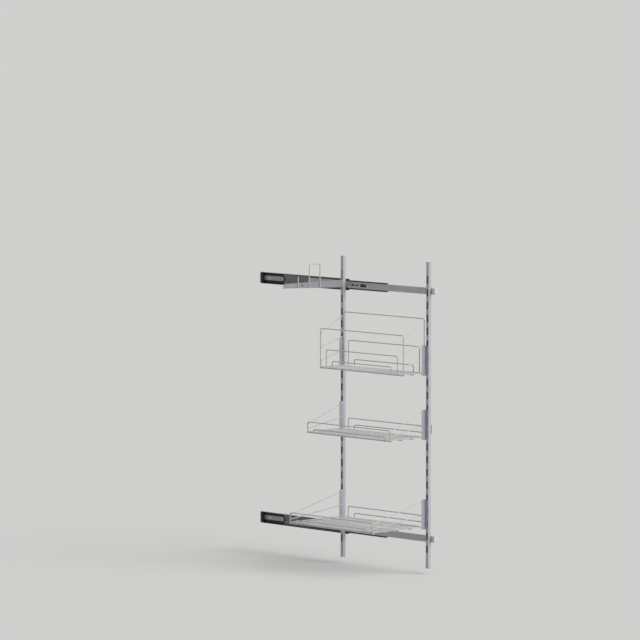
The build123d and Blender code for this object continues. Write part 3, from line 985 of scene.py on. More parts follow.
def deliver(
    piece: bpy.types.Object, node: str, kind: str, body: str, finish: Finish, angle: float = SHEET_ANGLE
) -> None:
    """Finish a piece that stands for a node: bring it to metres, shade, dress and hang it on its body.

    Args:
        piece: The mesh in millimetres.
        node: The node that it stands for.
        kind: The word that its name adds to the node's.
        body: The body that it rides on.
        finish: Its finish.
        angle: Edges sharper than this many degrees stay sharp.
    """
    name = f"{node}_{kind}"
    piece.name = name
    piece.data.name = name
    piece.scale = (MM, MM, MM)
    settle(piece)
    bpy.ops.object.shade_smooth_by_angle(angle=math.radians(angle))
    modify(piece, "WEIGHTED_NORMAL", keep_sharp=True)
    finish.dress(piece)
    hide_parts(node)
    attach(piece, body)
    made, wanted = corners_of([Vector(corner) for corner in piece.bound_box]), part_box(node)
    off = max(abs(a - b) for one, other in zip(made, wanted) for a, b in zip(one, other)) / MM
    LOG.info("%s rides on %s, %d faces, %.2f mm off its node", name, body, len(piece.data.polygons), off)


def deliver_wire(pieces: list[bpy.types.Object], node: str, body: str) -> None:
    """Join wires and their welds into one piece that stands for a node, and finish it.

    Args:
        pieces: The wires and welds in millimetres.
        node: The node that they stand for.
        body: The body that they ride on.
    """
    deliver(join(pieces), node, "wire", body, WIRE_SILVER, WIRE_ANGLE)


@dataclass(frozen=True)
class Wires:
    """The wire sizes that all baskets share, and how many faces go round and along them."""

    rod: float = 2.5
    rod_sides: int = 14
    loop: float = 2.0
    loop_sides: int = 14
    loop_bend: float = 8.0
    loop_bend_steps: int = 8
    low_loop_bend: float = 5.0
    low_loop: float = 24.0
    side: float = 1.75
    floor: float = 1.5
    floor_end: float = 2.0
    floor_sides: int = 10
    floor_pitch: float = 20.0
    rod_pitch: float = 70.0
    touch: float = 0.02
    floor_weld: float = 0.4
    bead: float = 2.1


@dataclass(frozen=True)
class Basket:
    """A wire basket: wire floor, nested loops, sloping side wires and two hook brackets.

    A loop is how far its front and its rear leg are from the middle, and its height. None stands for a
    leg as far out as the loop's neighbours let it be. The sloping wires are given by their heights at the
    back and the front.
    """

    name: str
    front_loops: tuple[Loop, ...]
    back_loops: tuple[Loop, ...]
    side_heights: tuple[tuple[float, float], ...]
    wires: Wires = field(default_factory=Wires)

    def box(self, part: str) -> Box:
        """The box of one of the basket's nodes."""
        return Box.of(f"{self.name}_{part}")

    @property
    def base(self) -> float:
        """The height of the basket's lowest wires."""
        return self.box("floor").low.z

    def build(self) -> None:
        """Make every piece of the basket."""
        self.build_floor()
        self.build_loops("front_loops", self.front_loops)
        self.build_loops("back_loops", self.back_loops)
        for side in Side:
            self.build_side_wires(side)
            self.build_bracket(side)

    def deliver_wires(self, pieces: list[bpy.types.Object], part: str) -> None:
        """Join wires into one piece and hang it on the basket's body."""
        deliver_wire(pieces, f"{self.name}_{part}", self.name)

    def build_loops(self, part: str, loops: tuple[Loop, ...]) -> None:
        """Bend the nested loops of one side.

        Args:
            part: The loops' word in their node's name.
            loops: The loops, outermost first.
        """
        box, wires = self.box(part), self.wires
        x, middle = box.middle.x, self.box("floor").middle.y
        pieces = []
        for i, (front, rear, height) in enumerate(loops):
            beside = middle - box.low.y - wires.loop - i * (2 * wires.loop + wires.touch)
            low_y, high_y = middle - (front or beside), middle + (rear or beside)
            bend = wires.loop_bend if height > wires.low_loop else wires.low_loop_bend
            top = self.base + height - wires.loop
            places = (low_y, self.base), (low_y, top), (high_y, top), (high_y, self.base)
            corners = [Vector((x, y, z)) for y, z in places]
            pieces.append(bent_wire(corners, wires.loop, wires.loop_sides, bend, wires.loop_bend_steps))
        self.deliver_wires(pieces, part)

    def build_side_wires(self, side: Side) -> None:
        """The sloping wires at one end, with a weld at each end of them.

        Args:
            side: The end.
        """
        part = f"{side.word}_side_wires"
        y = self.box(part).middle.y
        back_x, front_x = self.box("back_loops").middle.x, self.box("front_loops").middle.x
        pieces = []
        for back, front in self.side_heights:
            ends = [Vector((back_x, y, self.base + back)), Vector((front_x, y, self.base + front))]
            pieces.append(bent_wire(ends, self.wires.side))
            pieces += [weld_bead(end, self.wires.bead) for end in ends]
        self.deliver_wires(pieces, part)

    def build_floor(self) -> None:
        """Rods along the basket, close wires across them, and a weld at each crossing."""
        wires, box = self.wires, self.box("floor")
        rod_z = box.low.z + wires.rod
        front, back = box.low.x + wires.rod, box.high.x - wires.rod
        middle = box.middle.y
        bays = max(1, round((back - front) / wires.rod_pitch))
        rods = [front + (back - front) * i / bays for i in range(bays + 1)]
        bracket_face = abs(self.box("rear_bracket").low.y - middle)
        pieces = []
        for x in rods:
            half = box.size.y / 2 if x == front else bracket_face - wires.touch
            ends = [Vector((x, middle + sign * half, rod_z)) for sign in (-1, 1)]
            pieces.append(bent_wire(ends, wires.rod, wires.rod_sides))
        end = bracket_face - wires.floor_end - wires.touch
        count = int((end - wires.floor_pitch / 2) // wires.floor_pitch)
        places = [(middle + i * wires.floor_pitch, wires.floor) for i in range(-count, count + 1)]
        places += [(middle + side.value * end, wires.floor_end) for side in Side]
        patterns = {}
        for radius in (wires.floor, wires.floor_end):
            z = rod_z + wires.rod + radius - wires.floor_weld
            ends = [Vector((x, 0, z)) for x in (box.low.x, box.high.x)]
            patterns[radius] = bent_wire(ends, radius, wires.floor_sides)
        bead = weld_bead((0, 0, rod_z + wires.rod), wires.bead)
        for y, radius in places:
            pieces.append(copy_by(patterns[radius], Y * y))
            pieces += [copy_by(bead, Vector((x, y, 0))) for x in rods]
        for pattern in (*patterns.values(), bead):
            bpy.data.objects.remove(pattern)
        self.deliver_wires(pieces, "floor")

    def build_bracket(self, side: Side) -> None:
        """The folded sheet at one end, with its hooks."""
        bracket = Bracket(f"{self.name}_{side.word}_bracket", side=side)
        deliver(bracket.build(), bracket.node, "sheet", self.name, BRACKET_SILVER)


@dataclass(frozen=True)
class Slots:
    """The hook slots of the posts, and the wall that they are in."""

    length: float = 28.0
    width: float = 9.0
    corner: Round = Round(1.5, 4)
    pitch: float = 50.0
    offset: float = 12.0
    wall: float = 1.5


SLOTS = Slots()
POST_CORNER = Round(2.0, 5)
SCREW_SPREAD = 5.5


@dataclass(frozen=True)
class HookSheet:
    """Folded sheet with two hooks that drop behind the slotted wall of a post."""

    node: str
    sheet: float = 1.5
    root_sheet: float = 1.5
    fold: Round = Round(1.2, 4)
    hang_gap: float = 0.3
    hook_width: float = 6.0
    hook_neck: float = 6.0
    hook_drop: float = 8.0
    hook_shoulder: Round = Round(1.2, 4)
    hook_tip: Round = Round(1.6, 3)

    @property
    def box(self) -> Box:
        """The box of the sheet's node."""
        return Box.of(self.node)

    @property
    def back(self) -> float:
        """The place along X of the face that lies on the post."""
        return self.box.high.x - self.root_sheet - 2 * self.hang_gap - SLOTS.wall

    def hooks(self, y: float, lower_slot: float) -> list[bpy.types.Object]:
        """Both hooks.

        Args:
            y: Their middle along Y.
            lower_slot: The middle height of the slot that the lower one goes through.

        Returns:
            The two hooks.
        """
        end, half = self.box.high.x, self.hook_width / 2
        neck_low = lower_slot - SLOTS.length / 2 + self.hang_gap
        top, bend_x = neck_low + self.hook_neck, end - self.sheet
        hook = block((self.back - self.sheet / 2, y - half, neck_low), (end, y + half, top))
        with editing(hook):
            bpy.ops.mesh.select_all(action="SELECT")
            bpy.ops.mesh.bisect(plane_co=(bend_x, 0, 0), plane_no=X)
            pick(hook, Domain.FACE, lambda place, normal: normal.z < -ALIGNED and place.x > bend_x)
            push(-Z * self.hook_drop)
            pick(hook, Domain.EDGE, lambda place, run: near(place.x, end) and near(place.z, top))
            round_off(self.hook_shoulder)
            pick(hook, Domain.EDGE, lambda place, run: abs(run.x) > ALIGNED and place.z < neck_low - NEAR)
            round_off(self.hook_tip)
        return [hook, copy_by(hook, Z * SLOTS.pitch)]


@dataclass(frozen=True)
class Bracket(HookSheet):
    """One end bracket of a basket: a leg on the post, and a leg that carries the wires."""

    side: Side = Side.REAR
    corner: Round = Round(5.0, 6)
    height: float = 117.5
    drop: float = 4.5
    hook_above_base: float = 18.0

    def build(self) -> bpy.types.Object:
        """Fold the bracket and add its hooks.

        Returns:
            The bracket.
        """
        box, back = self.box, self.back - self.sheet / 2
        near_x, high = box.low.x, box.high.z
        low = high - self.height
        inner, outer = (box.low.y, box.high.y) if self.side is Side.REAR else (box.high.y, box.low.y)
        y = inner + self.side.value * self.sheet / 2
        sheet = plate([(x, y, z) for x, z in ((near_x, low), (back, low), (back, high), (near_x, high))])
        with editing(sheet):
            pick_at(sheet, X, back)
            push(Y * (outer - y))
            pick(sheet, Domain.EDGE, lambda place, run: near(place.x, back) and near(place.y, y))
            round_off(self.fold)
            pick(sheet, Domain.VERT, lambda place, normal: near(place.x, near_x))
            round_off(self.corner, Domain.VERT)
        thicken(sheet, self.sheet)
        post_y = outer - self.side.value * self.hook_width / 2
        return join([sheet, *self.hooks(post_y, low + self.drop + self.hook_above_base)])


@dataclass(frozen=True)
class Arm(HookSheet):
    """The tapered arm on the rear post, its wire loop and its peg."""

    node: str = "hanging_arm"
    body: str = "arm"
    sheet: float = 2.0
    lower_slot: float = 962.0
    rise: float = 24.5
    root_height: float = 30.0
    root_corner: Round = Round(2.5, 5)
    flange_drop: float = 10.0
    tip_height: float = 17.0
    tip_corner: Round = Round(7.0, 8)
    lip: float = 9.0
    lip_corner: Round = Round(8.0, 6)
    broken_edge: float = 0.25
    sharp_angle: float = 50.0
    hole_at: float = 223.0
    hole: float = 4.0
    hole_sides: int = 32
    wire: float = 2.0
    wire_sides: int = 16
    loop_bend: float = 6.0
    loop_bend_steps: int = 10
    peg_crown: float = 0.4
    weld: float = 1.8
    weld_stretch: tuple[float, float, float] = (1.3, 0.9, 2.4)
    weld_offset: float = 1.2
    weld_inset: float = 3.0

    @property
    def top(self) -> float:
        """The height of the arm's upper edge."""
        return self.lower_slot + self.rise

    def low_at(self, x: float) -> float:
        """The height of the arm's lower edge at a place along X."""
        share = (self.back - x) / (self.back - self.box.low.x)
        return self.top - self.root_height + (self.root_height - self.tip_height) * share

    def build(self) -> None:
        """Make the arm, its loop and its peg."""
        self.build_sheet()
        self.build_loop()
        self.build_peg()

    def build_sheet(self) -> None:
        """Join the tapered sheet, its root flange and its hooks."""
        post_y = self.box.high.y - self.hook_width / 2
        pieces = [self.build_web(), self.build_flange(), *self.hooks(post_y, self.lower_slot)]
        deliver(join(pieces), self.node, "sheet", self.body, ARM_SILVER)

    def build_web(self) -> bpy.types.Object:
        """Cut the tapered sheet, fold its lower lip and punch its hole.

        Returns:
            The sheet.
        """
        half = self.sheet / 2
        y, tip_x, root_x = self.box.low.y + half, self.box.low.x, self.back - self.root_sheet / 2
        lows = [(x, self.low_at(x) + half) for x in (tip_x, root_x)]
        web = plate([(x, y, z) for x, z in (*lows, (root_x, self.top), (tip_x, self.top))])

        def is_low(place: Vector, run: Vector) -> bool:
            """Whether an edge runs along the arm's lower side."""
            return abs(run.x) > ALIGNED and place.z < self.top - half

        with editing(web):
            pick(web, Domain.EDGE, is_low)
            push(Y * (self.lip + half))
            pick(web, Domain.EDGE, lambda place, run: is_low(place, run) and near(place.y, y))
            round_off(self.fold)
            pick(web, Domain.VERT, lambda place, normal: near(place.x, tip_x) and near(place.z, self.top))
            round_off(self.tip_corner, Domain.VERT)
            pick(web, Domain.VERT, lambda place, normal: near(place.x, tip_x) and place.y > y + self.lip)
            round_off(self.lip_corner, Domain.VERT)
        thicken(web, self.sheet)
        x = self.back - self.hole_at
        z = (self.top + self.low_at(x)) / 2
        run = self.hole + half
        cut(web, [cylinder((x, y - run, z), (x, y + run, z), self.hole, self.hole_sides)])
        ease(web, self.broken_edge, self.sharp_angle)
        return web

    def build_flange(self) -> bpy.types.Object:
        """The flange that lies on the post.

        Returns:
            The flange.
        """
        box = self.box
        low = (self.back - self.root_sheet, box.low.y, self.low_at(self.back) - self.flange_drop)
        flange = rounded_block(low, (self.back, box.high.y, box.high.z), X, self.root_corner)
        ease(flange, self.broken_edge, self.sharp_angle)
        return flange

    def build_loop(self) -> None:
        """Bend the wire loop that stands over the arm, and weld its legs on."""
        node = "hanging_arm_loop"
        box, r = Box.of(node), self.wire
        y, low, top = box.middle.y, box.low.z, box.high.z - r
        near_x, far_x = box.high.x - r, box.low.x + r
        corners = [
            Vector((x, y, z)) for x, z in ((far_x, low), (far_x, top), (near_x, top), (near_x, low))
        ]
        pieces = [bent_wire(corners, r, self.wire_sides, self.loop_bend, self.loop_bend_steps)]
        for x in (near_x, far_x):
            pieces += self.welds(x, y, low)
        deliver_wire(pieces, node, self.body)

    def build_peg(self) -> None:
        """The peg near the arm's end, with its welds."""
        node = "hanging_arm_peg"
        box = Box.of(node)
        x, y, _ = box.middle
        ends = [Vector((x, y, z)) for z in (box.low.z, box.high.z - self.peg_crown)]
        peg = bent_wire(ends, self.wire, self.wire_sides)
        deliver_wire([peg, *self.welds(x, y, box.low.z)], node, self.body)

    def welds(self, x: float, y: float, low: float) -> list[bpy.types.Object]:
        """The two short welds between an upright wire and the arm's face.

        Args:
            x: The wire's place along X.
            y: The wire's place along Y.
            low: The height of its lower end.

        Returns:
            The welds.
        """
        beads = []
        for z in (low + self.weld_inset, self.top - self.weld_inset):
            bead = weld_bead((0, 0, 0), self.weld)
            bead.data.transform(Matrix.Diagonal((*self.weld_stretch, 1)))
            bead.data.transform(Matrix.Translation((x, y + self.weld_offset, z)))
            beads.append(bead)
        return beads


@dataclass(frozen=True)
class Post:
    """A square tube with hook slots in the face towards the baskets."""

    node: str
    broken_edge: float = 0.2
    end_margin: float = 10.0
    screw_hole: float = 2.15
    cut_run: float = 3.0
    body: str = "carriage"

    def slot_heights(self) -> list[float]:
        """The middle height of each slot.

        Returns:
            The heights, from the lowest.
        """
        box = Box.of(self.node)
        reach = SLOTS.length / 2 + self.end_margin
        first = math.ceil((box.low.z + reach - SLOTS.offset - NEAR) / SLOTS.pitch)
        last = math.floor((box.high.z - reach - SLOTS.offset + NEAR) / SLOTS.pitch)
        return [SLOTS.offset + i * SLOTS.pitch for i in range(first, last + 1)]

    def build(self) -> None:
        """Make the tube with rounded corners, and punch its slots and screw holes."""
        box, run = Box.of(self.node), self.cut_run
        tube = block(box.low, box.high)
        with editing(tube):
            pick(tube, Domain.FACE, lambda place, normal: abs(normal.z) > ALIGNED)
            bpy.ops.mesh.delete(type="FACE")
            pick_along(tube, Z)
            round_off(POST_CORNER)
        modify(tube, "SOLIDIFY", thickness=SLOTS.wall, offset=-1, use_even_offset=True)
        y, half, reach = box.middle.y, SLOTS.width / 2, SLOTS.length / 2
        low, high = (box.low.x - run, y - half, -reach), (box.low.x + SLOTS.wall + run, y + half, reach)
        slot = rounded_block(low, high, X, SLOTS.corner)
        tools = repeat(slot, [Z * height for height in self.slot_heights()])
        for slide in Slide:
            z = Box.of(f"{slide.value}_inner_rail").middle.z
            for spread in (SCREW_SPREAD, -SCREW_SPREAD):
                ends = [(box.high.x + side * run, y, z + spread) for side in (-1, 1)]
                tools.append(cylinder(*ends, self.screw_hole, SHANK_SIDES))
        cut(tube, tools)
        ease(tube, self.broken_edge)
        deliver(tube, self.node, "tube", self.body, POST_SILVER)


@dataclass(frozen=True)
class PostTrim:
    """The caps in the ends of both posts, and the pad beside the front post."""

    plate: float = 3.0
    dome_border: float = 1.2
    dome_rise: float = 0.72
    plug_gap: float = 1.65
    plug_corner: Round = Round(1.0, 3)
    pad_corner: Round = Round(2.5, 5)
    pad_edge: Round = Round(0.7, 3)
    body: str = "carriage"

    def build(self) -> None:
        """Make both pairs of caps and the pad."""
        self.build_caps("bottom_post_caps", -Z)
        self.build_caps("top_post_caps", Z)
        self.build_pad()

    def build_caps(self, node: str, outward: Vector) -> None:
        """The two caps at one end of the posts.

        Args:
            node: The caps' node.
            outward: The direction out of the posts.
        """
        inner, outer = sorted((Box.of(node).low.z, Box.of(node).high.z), key=lambda z: z * outward.z)
        seat = outer - outward.z * self.plate
        caps = []
        for post in ("rear_post", "front_post"):
            tube = Box.of(post)
            caps.append(self.cap(tube, outer, seat, outward))
            low, high = sorted((seat, inner))
            gap = Vector((self.plug_gap, self.plug_gap))
            corners = (*(tube.low.xy + gap), low), (*(tube.high.xy - gap), high)
            caps.append(rounded_block(*corners, Z, self.plug_corner))
        deliver(join(caps), node, "moulding", self.body, CAP_PLASTIC)

    def cap(self, tube: Box, outer: float, seat: float, outward: Vector) -> bpy.types.Object:
        """The domed plate of one cap.

        Args:
            tube: The post's box.
            outer: The height of the plate's outer face.
            seat: The height of the face that lies on the post's end.
            outward: The direction out of the post.

        Returns:
            The plate.
        """
        low, high = sorted((outer, seat))
        corners = (*tube.low.xy, low), (*tube.high.xy, high)
        cap = rounded_block(*corners, Z, POST_CORNER)
        rim = (tube.size.x - self.dome_border) / 2

        def on_rim(place: Vector, run: Vector) -> bool:
            """Whether an edge is on the rim of the outer face."""
            away = max(abs(place.x - tube.middle.x), abs(place.y - tube.middle.y))
            return near(place.z, outer) and abs(run.z) < ALIGNED and away > rim

        with editing(cap):
            inset(cap, outward, self.dome_border)
            pick(cap, Domain.EDGE, on_rim)
            bpy.ops.transform.translate(value=-outward * self.dome_rise)
        return cap

    def build_pad(self) -> None:
        """The rubber pad on the front post's wall side."""
        node = "front_post_bumper"
        box = Box.of(node)
        pad = rounded_block(box.low, box.high, X, self.pad_corner)
        round_at(pad, X, box.high.x, self.pad_edge)
        deliver(pad, node, "pad", self.body, STOP_RUBBER)


@dataclass(frozen=True)
class SlideSet:
    """One ball-bearing slide: three folded rails, and the small pieces on them."""

    slide: Slide
    fixed: str = "wall_rails"
    pulled: str = "carriage"
    # The rails.
    wall_sheet: float = 1.2
    middle_sheet: float = 1.2
    inner_sheet: float = 1.3
    wall_fold: Round = Round(2.6, 5)
    middle_fold: Round = Round(2.2, 5)
    inner_fold: Round = Round(1.8, 5)
    lip: float = 2.0
    lip_fold: Round = Round(0.9, 4)
    broken_edge: float = 0.15
    moulded_edge: float = 0.3
    cut_run: float = 3.0
    window_run: float = 2.0
    wall_screw_pitch: float = 224.0
    wall_screw_hole: float = 2.6
    countersink_depth: float = 0.9
    # The painted shade inside the rails' channels.
    race_z: float = 8.0
    middle_race_z: float = 13.5
    race_fade: float = 1.5
    smear: float = 3.0
    # The rear stop.
    stop_corner: Round = Round(1.5, 4)
    stop_border: float = 1.6
    stop_hollow: float = 1.0
    # The release lever, its thumb pad and its ribs.
    lever_sheet: float = 2.5
    lever_corner: Round = Round(2.4, 5)
    lever_edge: float = 0.2
    lever_swing: float = 2.5
    lever_pad: float = 31.0
    pad_corner: Round = Round(1.4, 4)
    pad_border: float = 0.7
    pad_sink: float = 0.5
    ribs: int = 5
    rib_width: float = 1.4
    rib_depth: float = 1.5
    rib_inset: float = 1.0
    rib_edge: Round = Round(0.45, 3)
    # The lever's window and the cut-outs before it.
    window_gap: float = 0.5
    window_corner: Round = Round(1.5, 6)
    cut_leads: tuple[float, float] = (59.0, 81.0)
    cut_length: float = 15.0
    cut_width: float = 6.0
    cut_corner: Round = Round(2.95, 6)
    # The lever's rivet.
    pin: float = 1.5
    pin_head: float = 1.0
    pin_dome: Round = Round(0.7, 4)
    # The front buffer and its tongue.
    buffer: float = 17.0
    buffer_round: Round = Round(2.0, 5)
    buffer_border: float = 2.6
    buffer_hollow: float = 0.3
    tongue_edge: Round = Round(1.0, 3)
    # The screws and nuts of the posts.
    screw: float = 2.0
    screw_tip: Round = Round(0.5, 2)
    screw_head: float = 3.25
    screw_head_height: float = 2.4
    screw_dome: Round = Round(1.3, 5)
    screw_sink: float = 0.4
    screw_gap: float = 0.15
    recess_length: float = 3.6
    recess_width: float = 0.8
    recess_depth: float = 1.1
    nut_across: float = 7.0
    nut_border: float = 0.5
    nut_edge: float = 0.25
    thread_gap: float = 0.02

    def named(self, part: str) -> str:
        """The name of one of this slide's nodes or bodies."""
        return f"{self.slide.value}_{part}"

    def box(self, part: str) -> Box:
        """The box of one of this slide's nodes."""
        return Box.of(self.named(part))

    def build(self) -> None:
        """Make every piece of the slide."""
        self.build_wall_rail()
        self.build_middle_rail()
        self.build_inner_rail()
        self.build_rear_stop()
        self.build_lever()
        self.build_lever_pin()
        self.build_buffer()
        self.build_screws()
        self.build_nuts()
        for place in ("outer", "inner"):
            CAGE_STEEL.dress_node(self.named(f"{place}_ball_cage"))
            BALL_STEEL.dress_node(self.named(f"{place}_balls"))

    def greased(
        self, finish: Finish, part: str, sheet: float, race_z: float, end_y: float | None = None
    ) -> Finish:
        """A finish with painted shade inside the channel of one member of this slide.

        Args:
            finish: The member's finish.
            part: The member's word in its node's name.
            sheet: The thickness of its sheet.
            race_z: How far from the middle the painted shade starts.
            end_y: The place along Y where the clear strip ends, or None.

        Returns:
            The finish for this member alone.
        """
        box = self.box(part)
        flange_at, back_x = (box.size.z - sheet) / 2, box.high.x - sheet / 2
        grease = Grease(box.middle.z, race_z, race_z + self.race_fade, flange_at, back_x, end_y)
        return replace(finish, name=f"{finish.name}_{self.named(part)}", grease=grease)

    def channel(
        self, box: Box, web_x: float, tip_x: float, sheet: float, fold: Round, lip: float = 0.0
    ) -> bpy.types.Object:
        """Fold a C section along Y from one flat sheet.

        Args:
            box: The space that it fills.
            web_x: The place along X of the web's outer face.
            tip_x: The place along X of the flanges' tips.
            sheet: The sheet's thickness.
            fold: The rounding of the folds.
            lip: How far the lips reach back over the opening.

        Returns:
            The folded rail, without holes.
        """
        inward = math.copysign(sheet / 2, tip_x - web_x)
        web, tip = web_x + inward, tip_x - (inward if lip else 0.0)
        low, high = box.low.z + sheet / 2, box.high.z - sheet / 2
        ends = (box.low.y, box.high.y)
        places = [(y, z) for z, order in ((low, ends), (high, ends[::-1])) for y in order]
        rail = plate([(web, y, z) for y, z in places])

        def is_fold(place: Vector, run: Vector, x: float) -> bool:
            """Whether an edge is a fold between a flange and what stands at a place along X."""
            outer = near(abs(place.z - box.middle.z), high - box.middle.z)
            return outer and abs(run.y) > ALIGNED and near(place.x, x)

        with editing(rail):
            for side, edge_z in ((1, high), (-1, low)):
                pick_at(rail, Z, edge_z)
                push(X * (tip - web))
                if lip:
                    push(-Z * side * (lip - sheet / 2))
            pick(rail, Domain.EDGE, lambda place, run: is_fold(place, run, web))
            round_off(fold)
            if lip:
                pick(rail, Domain.EDGE, lambda place, run: is_fold(place, run, tip))
                round_off(self.lip_fold)
        thicken(rail, sheet)
        return rail

    def build_wall_rail(self) -> None:
        """The member on the wall, with countersunk screw holes."""
        box, sheet, hole, run = self.box("wall_rail"), self.wall_sheet, self.wall_screw_hole, self.cut_run
        rail = self.channel(box, box.high.x, box.low.x, sheet, self.wall_fold, self.lip)
        z, depth = box.middle.z, 2 * self.countersink_depth
        places = [(i * self.wall_screw_pitch, z) for i in (-1, 0, 1)]
        holes = [cylinder((-run, *place), (run, *place), hole, HOLE_SIDES) for place in places]
        sinks = []
        for place in places:
            bpy.ops.mesh.primitive_cone_add(
                vertices=HOLE_SIDES, radius1=hole, radius2=hole + depth, depth=depth,
                location=(-sheet, *place), rotation=turned_to(-X),
            )
            settle(bpy.context.object)
            sinks.append(bpy.context.object)
        cut(rail, holes)
        cut(rail, sinks)
        ease(rail, self.broken_edge)
        # The clear strip between the bands of painted shade starts with a round end just behind the ball cage;
        # in front of it the painted shade fills the channel.
        end = self.box("outer_ball_cage").high.y + self.smear + self.race_z
        finish = self.greased(SHADED_WALL_ZINC, "wall_rail", sheet, self.race_z, end)
        deliver(rail, self.named("wall_rail"), "sheet", self.fixed, finish)

    def build_middle_rail(self) -> None:
        """The member between the two ball rows."""
        box = self.box("middle_rail")
        rail = self.channel(box, box.high.x, box.low.x, self.middle_sheet, self.middle_fold)
        ease(rail, self.broken_edge)
        # Painted shade near the middle rail's flange tips, inside its channel.
        finish = self.greased(SLIDE_ZINC, "middle_rail", self.middle_sheet, self.middle_race_z)
        deliver(rail, self.named("middle_rail"), "sheet", self.named("middle_member"), finish)

    def slot_tool(self, low_y: float, high_y: float, half: float, corner: Round) -> bpy.types.Object:
        """A tool that cuts a rounded window through the inner rail's web.

        Args:
            low_y: Where the window starts along Y.
            high_y: Where it ends.
            half: Half its height.
            corner: The rounding of its corners.

        Returns:
            The tool.
        """
        rail = self.box("inner_rail")
        low, high = (rail.low.x - self.window_run, low_y), (rail.low.x + self.cut_run, high_y)
        return rounded_block((*low, rail.middle.z - half), (*high, rail.middle.z + half), X, corner)

    def build_inner_rail(self) -> None:
        """The member that carries the posts, with its lever window, cut-outs and screw holes."""
        box, lever, pin_y = self.box("inner_rail"), self.box("release_lever"), self.box("lever_pin").middle.y
        rail = self.channel(box, box.low.x, box.high.x, self.inner_sheet, self.inner_fold)
        near_x, far_x = box.low.x - self.cut_run, box.low.x + self.cut_run
        gap, end = self.window_gap, lever.high.y
        swing = (end - pin_y) * math.sin(math.radians(self.lever_swing))
        window = end - self.lever_pad - gap, end + gap, lever.size.z / 2 + swing + gap
        tools = [self.slot_tool(*window, self.window_corner)]
        for lead in self.cut_leads:
            middle, half = box.high.y - lead, self.cut_length / 2
            tools.append(self.slot_tool(middle - half, middle + half, self.cut_width / 2, self.cut_corner))
        holes = [(self.pin, pin_y, box.middle.z), *((self.screw, *place) for place in self.screw_places())]
        for radius, *place in holes:
            tools.append(cylinder((near_x, *place), (far_x, *place), radius + self.screw_gap))
        cut(rail, tools)
        ease(rail, self.broken_edge)
        deliver(rail, self.named("inner_rail"), "sheet", self.pulled, SLIDE_ZINC)

    def build_rear_stop(self) -> None:
        """The rubber block in the rear end of the wall rail, with a hollow in its face."""
        box = self.box("rear_stop")
        stop = rounded_block(box.low, box.high, X, self.stop_corner)
        with editing(stop):
            inset(stop, -X, self.stop_border, -self.stop_hollow)
        ease(stop, self.moulded_edge)
        deliver(stop, self.named("rear_stop"), "block", self.fixed, STOP_RUBBER)

    def build_lever(self) -> None:
        """The plastic release lever, with ribs on its thumb pad."""
        box = self.box("release_lever")
        y, z = box.high.y - self.lever_pad, box.low.z
        face, back = box.low.x, box.high.x - self.lever_sheet
        body = rounded_block((back, box.low.y, z), box.high, X, self.lever_corner)
        near_x, far_x = face + self.pad_sink, back + self.pad_sink
        pad = rounded_block((near_x, y, z), (far_x, box.high.y, box.high.z), X, self.pad_corner)
        with editing(pad):
            inset(pad, -X, self.pad_border)
        ribs = []
        inside, half = self.rib_inset, self.rib_width / 2
        for i in range(self.ribs):
            place = y + self.lever_pad / (self.ribs + 1) * (i + 1)
            low, high = (face, place - half, z + inside), (face + self.rib_depth, place + half)
            ribs.append(block(low, (*high, box.high.z - inside)))
            round_at(ribs[-1], X, face, self.rib_edge)
        lever = join([body, pad, *ribs])
        ease(lever, self.lever_edge)
        deliver(lever, self.named("release_lever"), "moulding", self.named("lever"), LEVER_PLASTIC)

    def build_lever_pin(self) -> None:
        """The rivet with its two domed heads."""
        box = self.box("lever_pin")
        y, z = box.middle.y, box.middle.z
        low, high, head = box.low.x, box.high.x, self.pin_head
        shank = cylinder((low + head / 2, y, z), (high - head / 2, y, z), self.pin, SHANK_SIDES)
        heads = []
        for start, end in ((low, low + head), (high, high - head)):
            heads.append(cylinder((end, y, z), (start, y, z), box.size.y / 2))
            round_at(heads[-1], X, start, self.pin_dome)
        deliver(join([shank, *heads]), self.named("lever_pin"), "rivet", self.pulled, FASTENER_STEEL)

    def build_buffer(self) -> None:
        """The moulded end piece of the inner rail: a thick head, and a tongue inside the rail."""
        box, rail = self.box("front_buffer"), self.box("inner_rail")
        seat = box.low.y + self.buffer
        head = block(box.low, (box.high.x, seat, box.high.z))
        with editing(head):
            pick_at(head, Y, box.low.y)
            round_off(self.buffer_round)
            inset(head, -X, self.buffer_border, -self.buffer_hollow)
        tongue = block((rail.low.x + self.inner_sheet, seat, box.low.z), box.high)
        round_at(tongue, Y, box.high.y, self.tongue_edge)
        piece = join([head, tongue])
        ease(piece, self.moulded_edge)
        deliver(piece, self.named("front_buffer"), "moulding", self.pulled, BUFFER_PLASTIC)

    def screw_places(self) -> list[tuple[float, float]]:
        """The places along Y and Z of the four screws.

        Returns:
            The places.
        """
        z = self.box("inner_rail").middle.z
        posts = (Box.of("rear_post").middle.y, Box.of("front_post").middle.y)
        return [(y, z + spread) for y in posts for spread in (SCREW_SPREAD, -SCREW_SPREAD)]

    def deliver_fasteners(self, pattern: bpy.types.Object, part: str, kind: str) -> None:
        """Put a screw or nut at each of the four places, as one piece.

        Args:
            pattern: One of them, on the X axis.
            part: Their word in their node's name.
            kind: The word that the piece's name adds.
        """
        pieces = repeat(pattern, [Vector((0, *place)) for place in self.screw_places()])
        deliver(join(pieces), self.named(part), kind, self.pulled, FASTENER_STEEL)

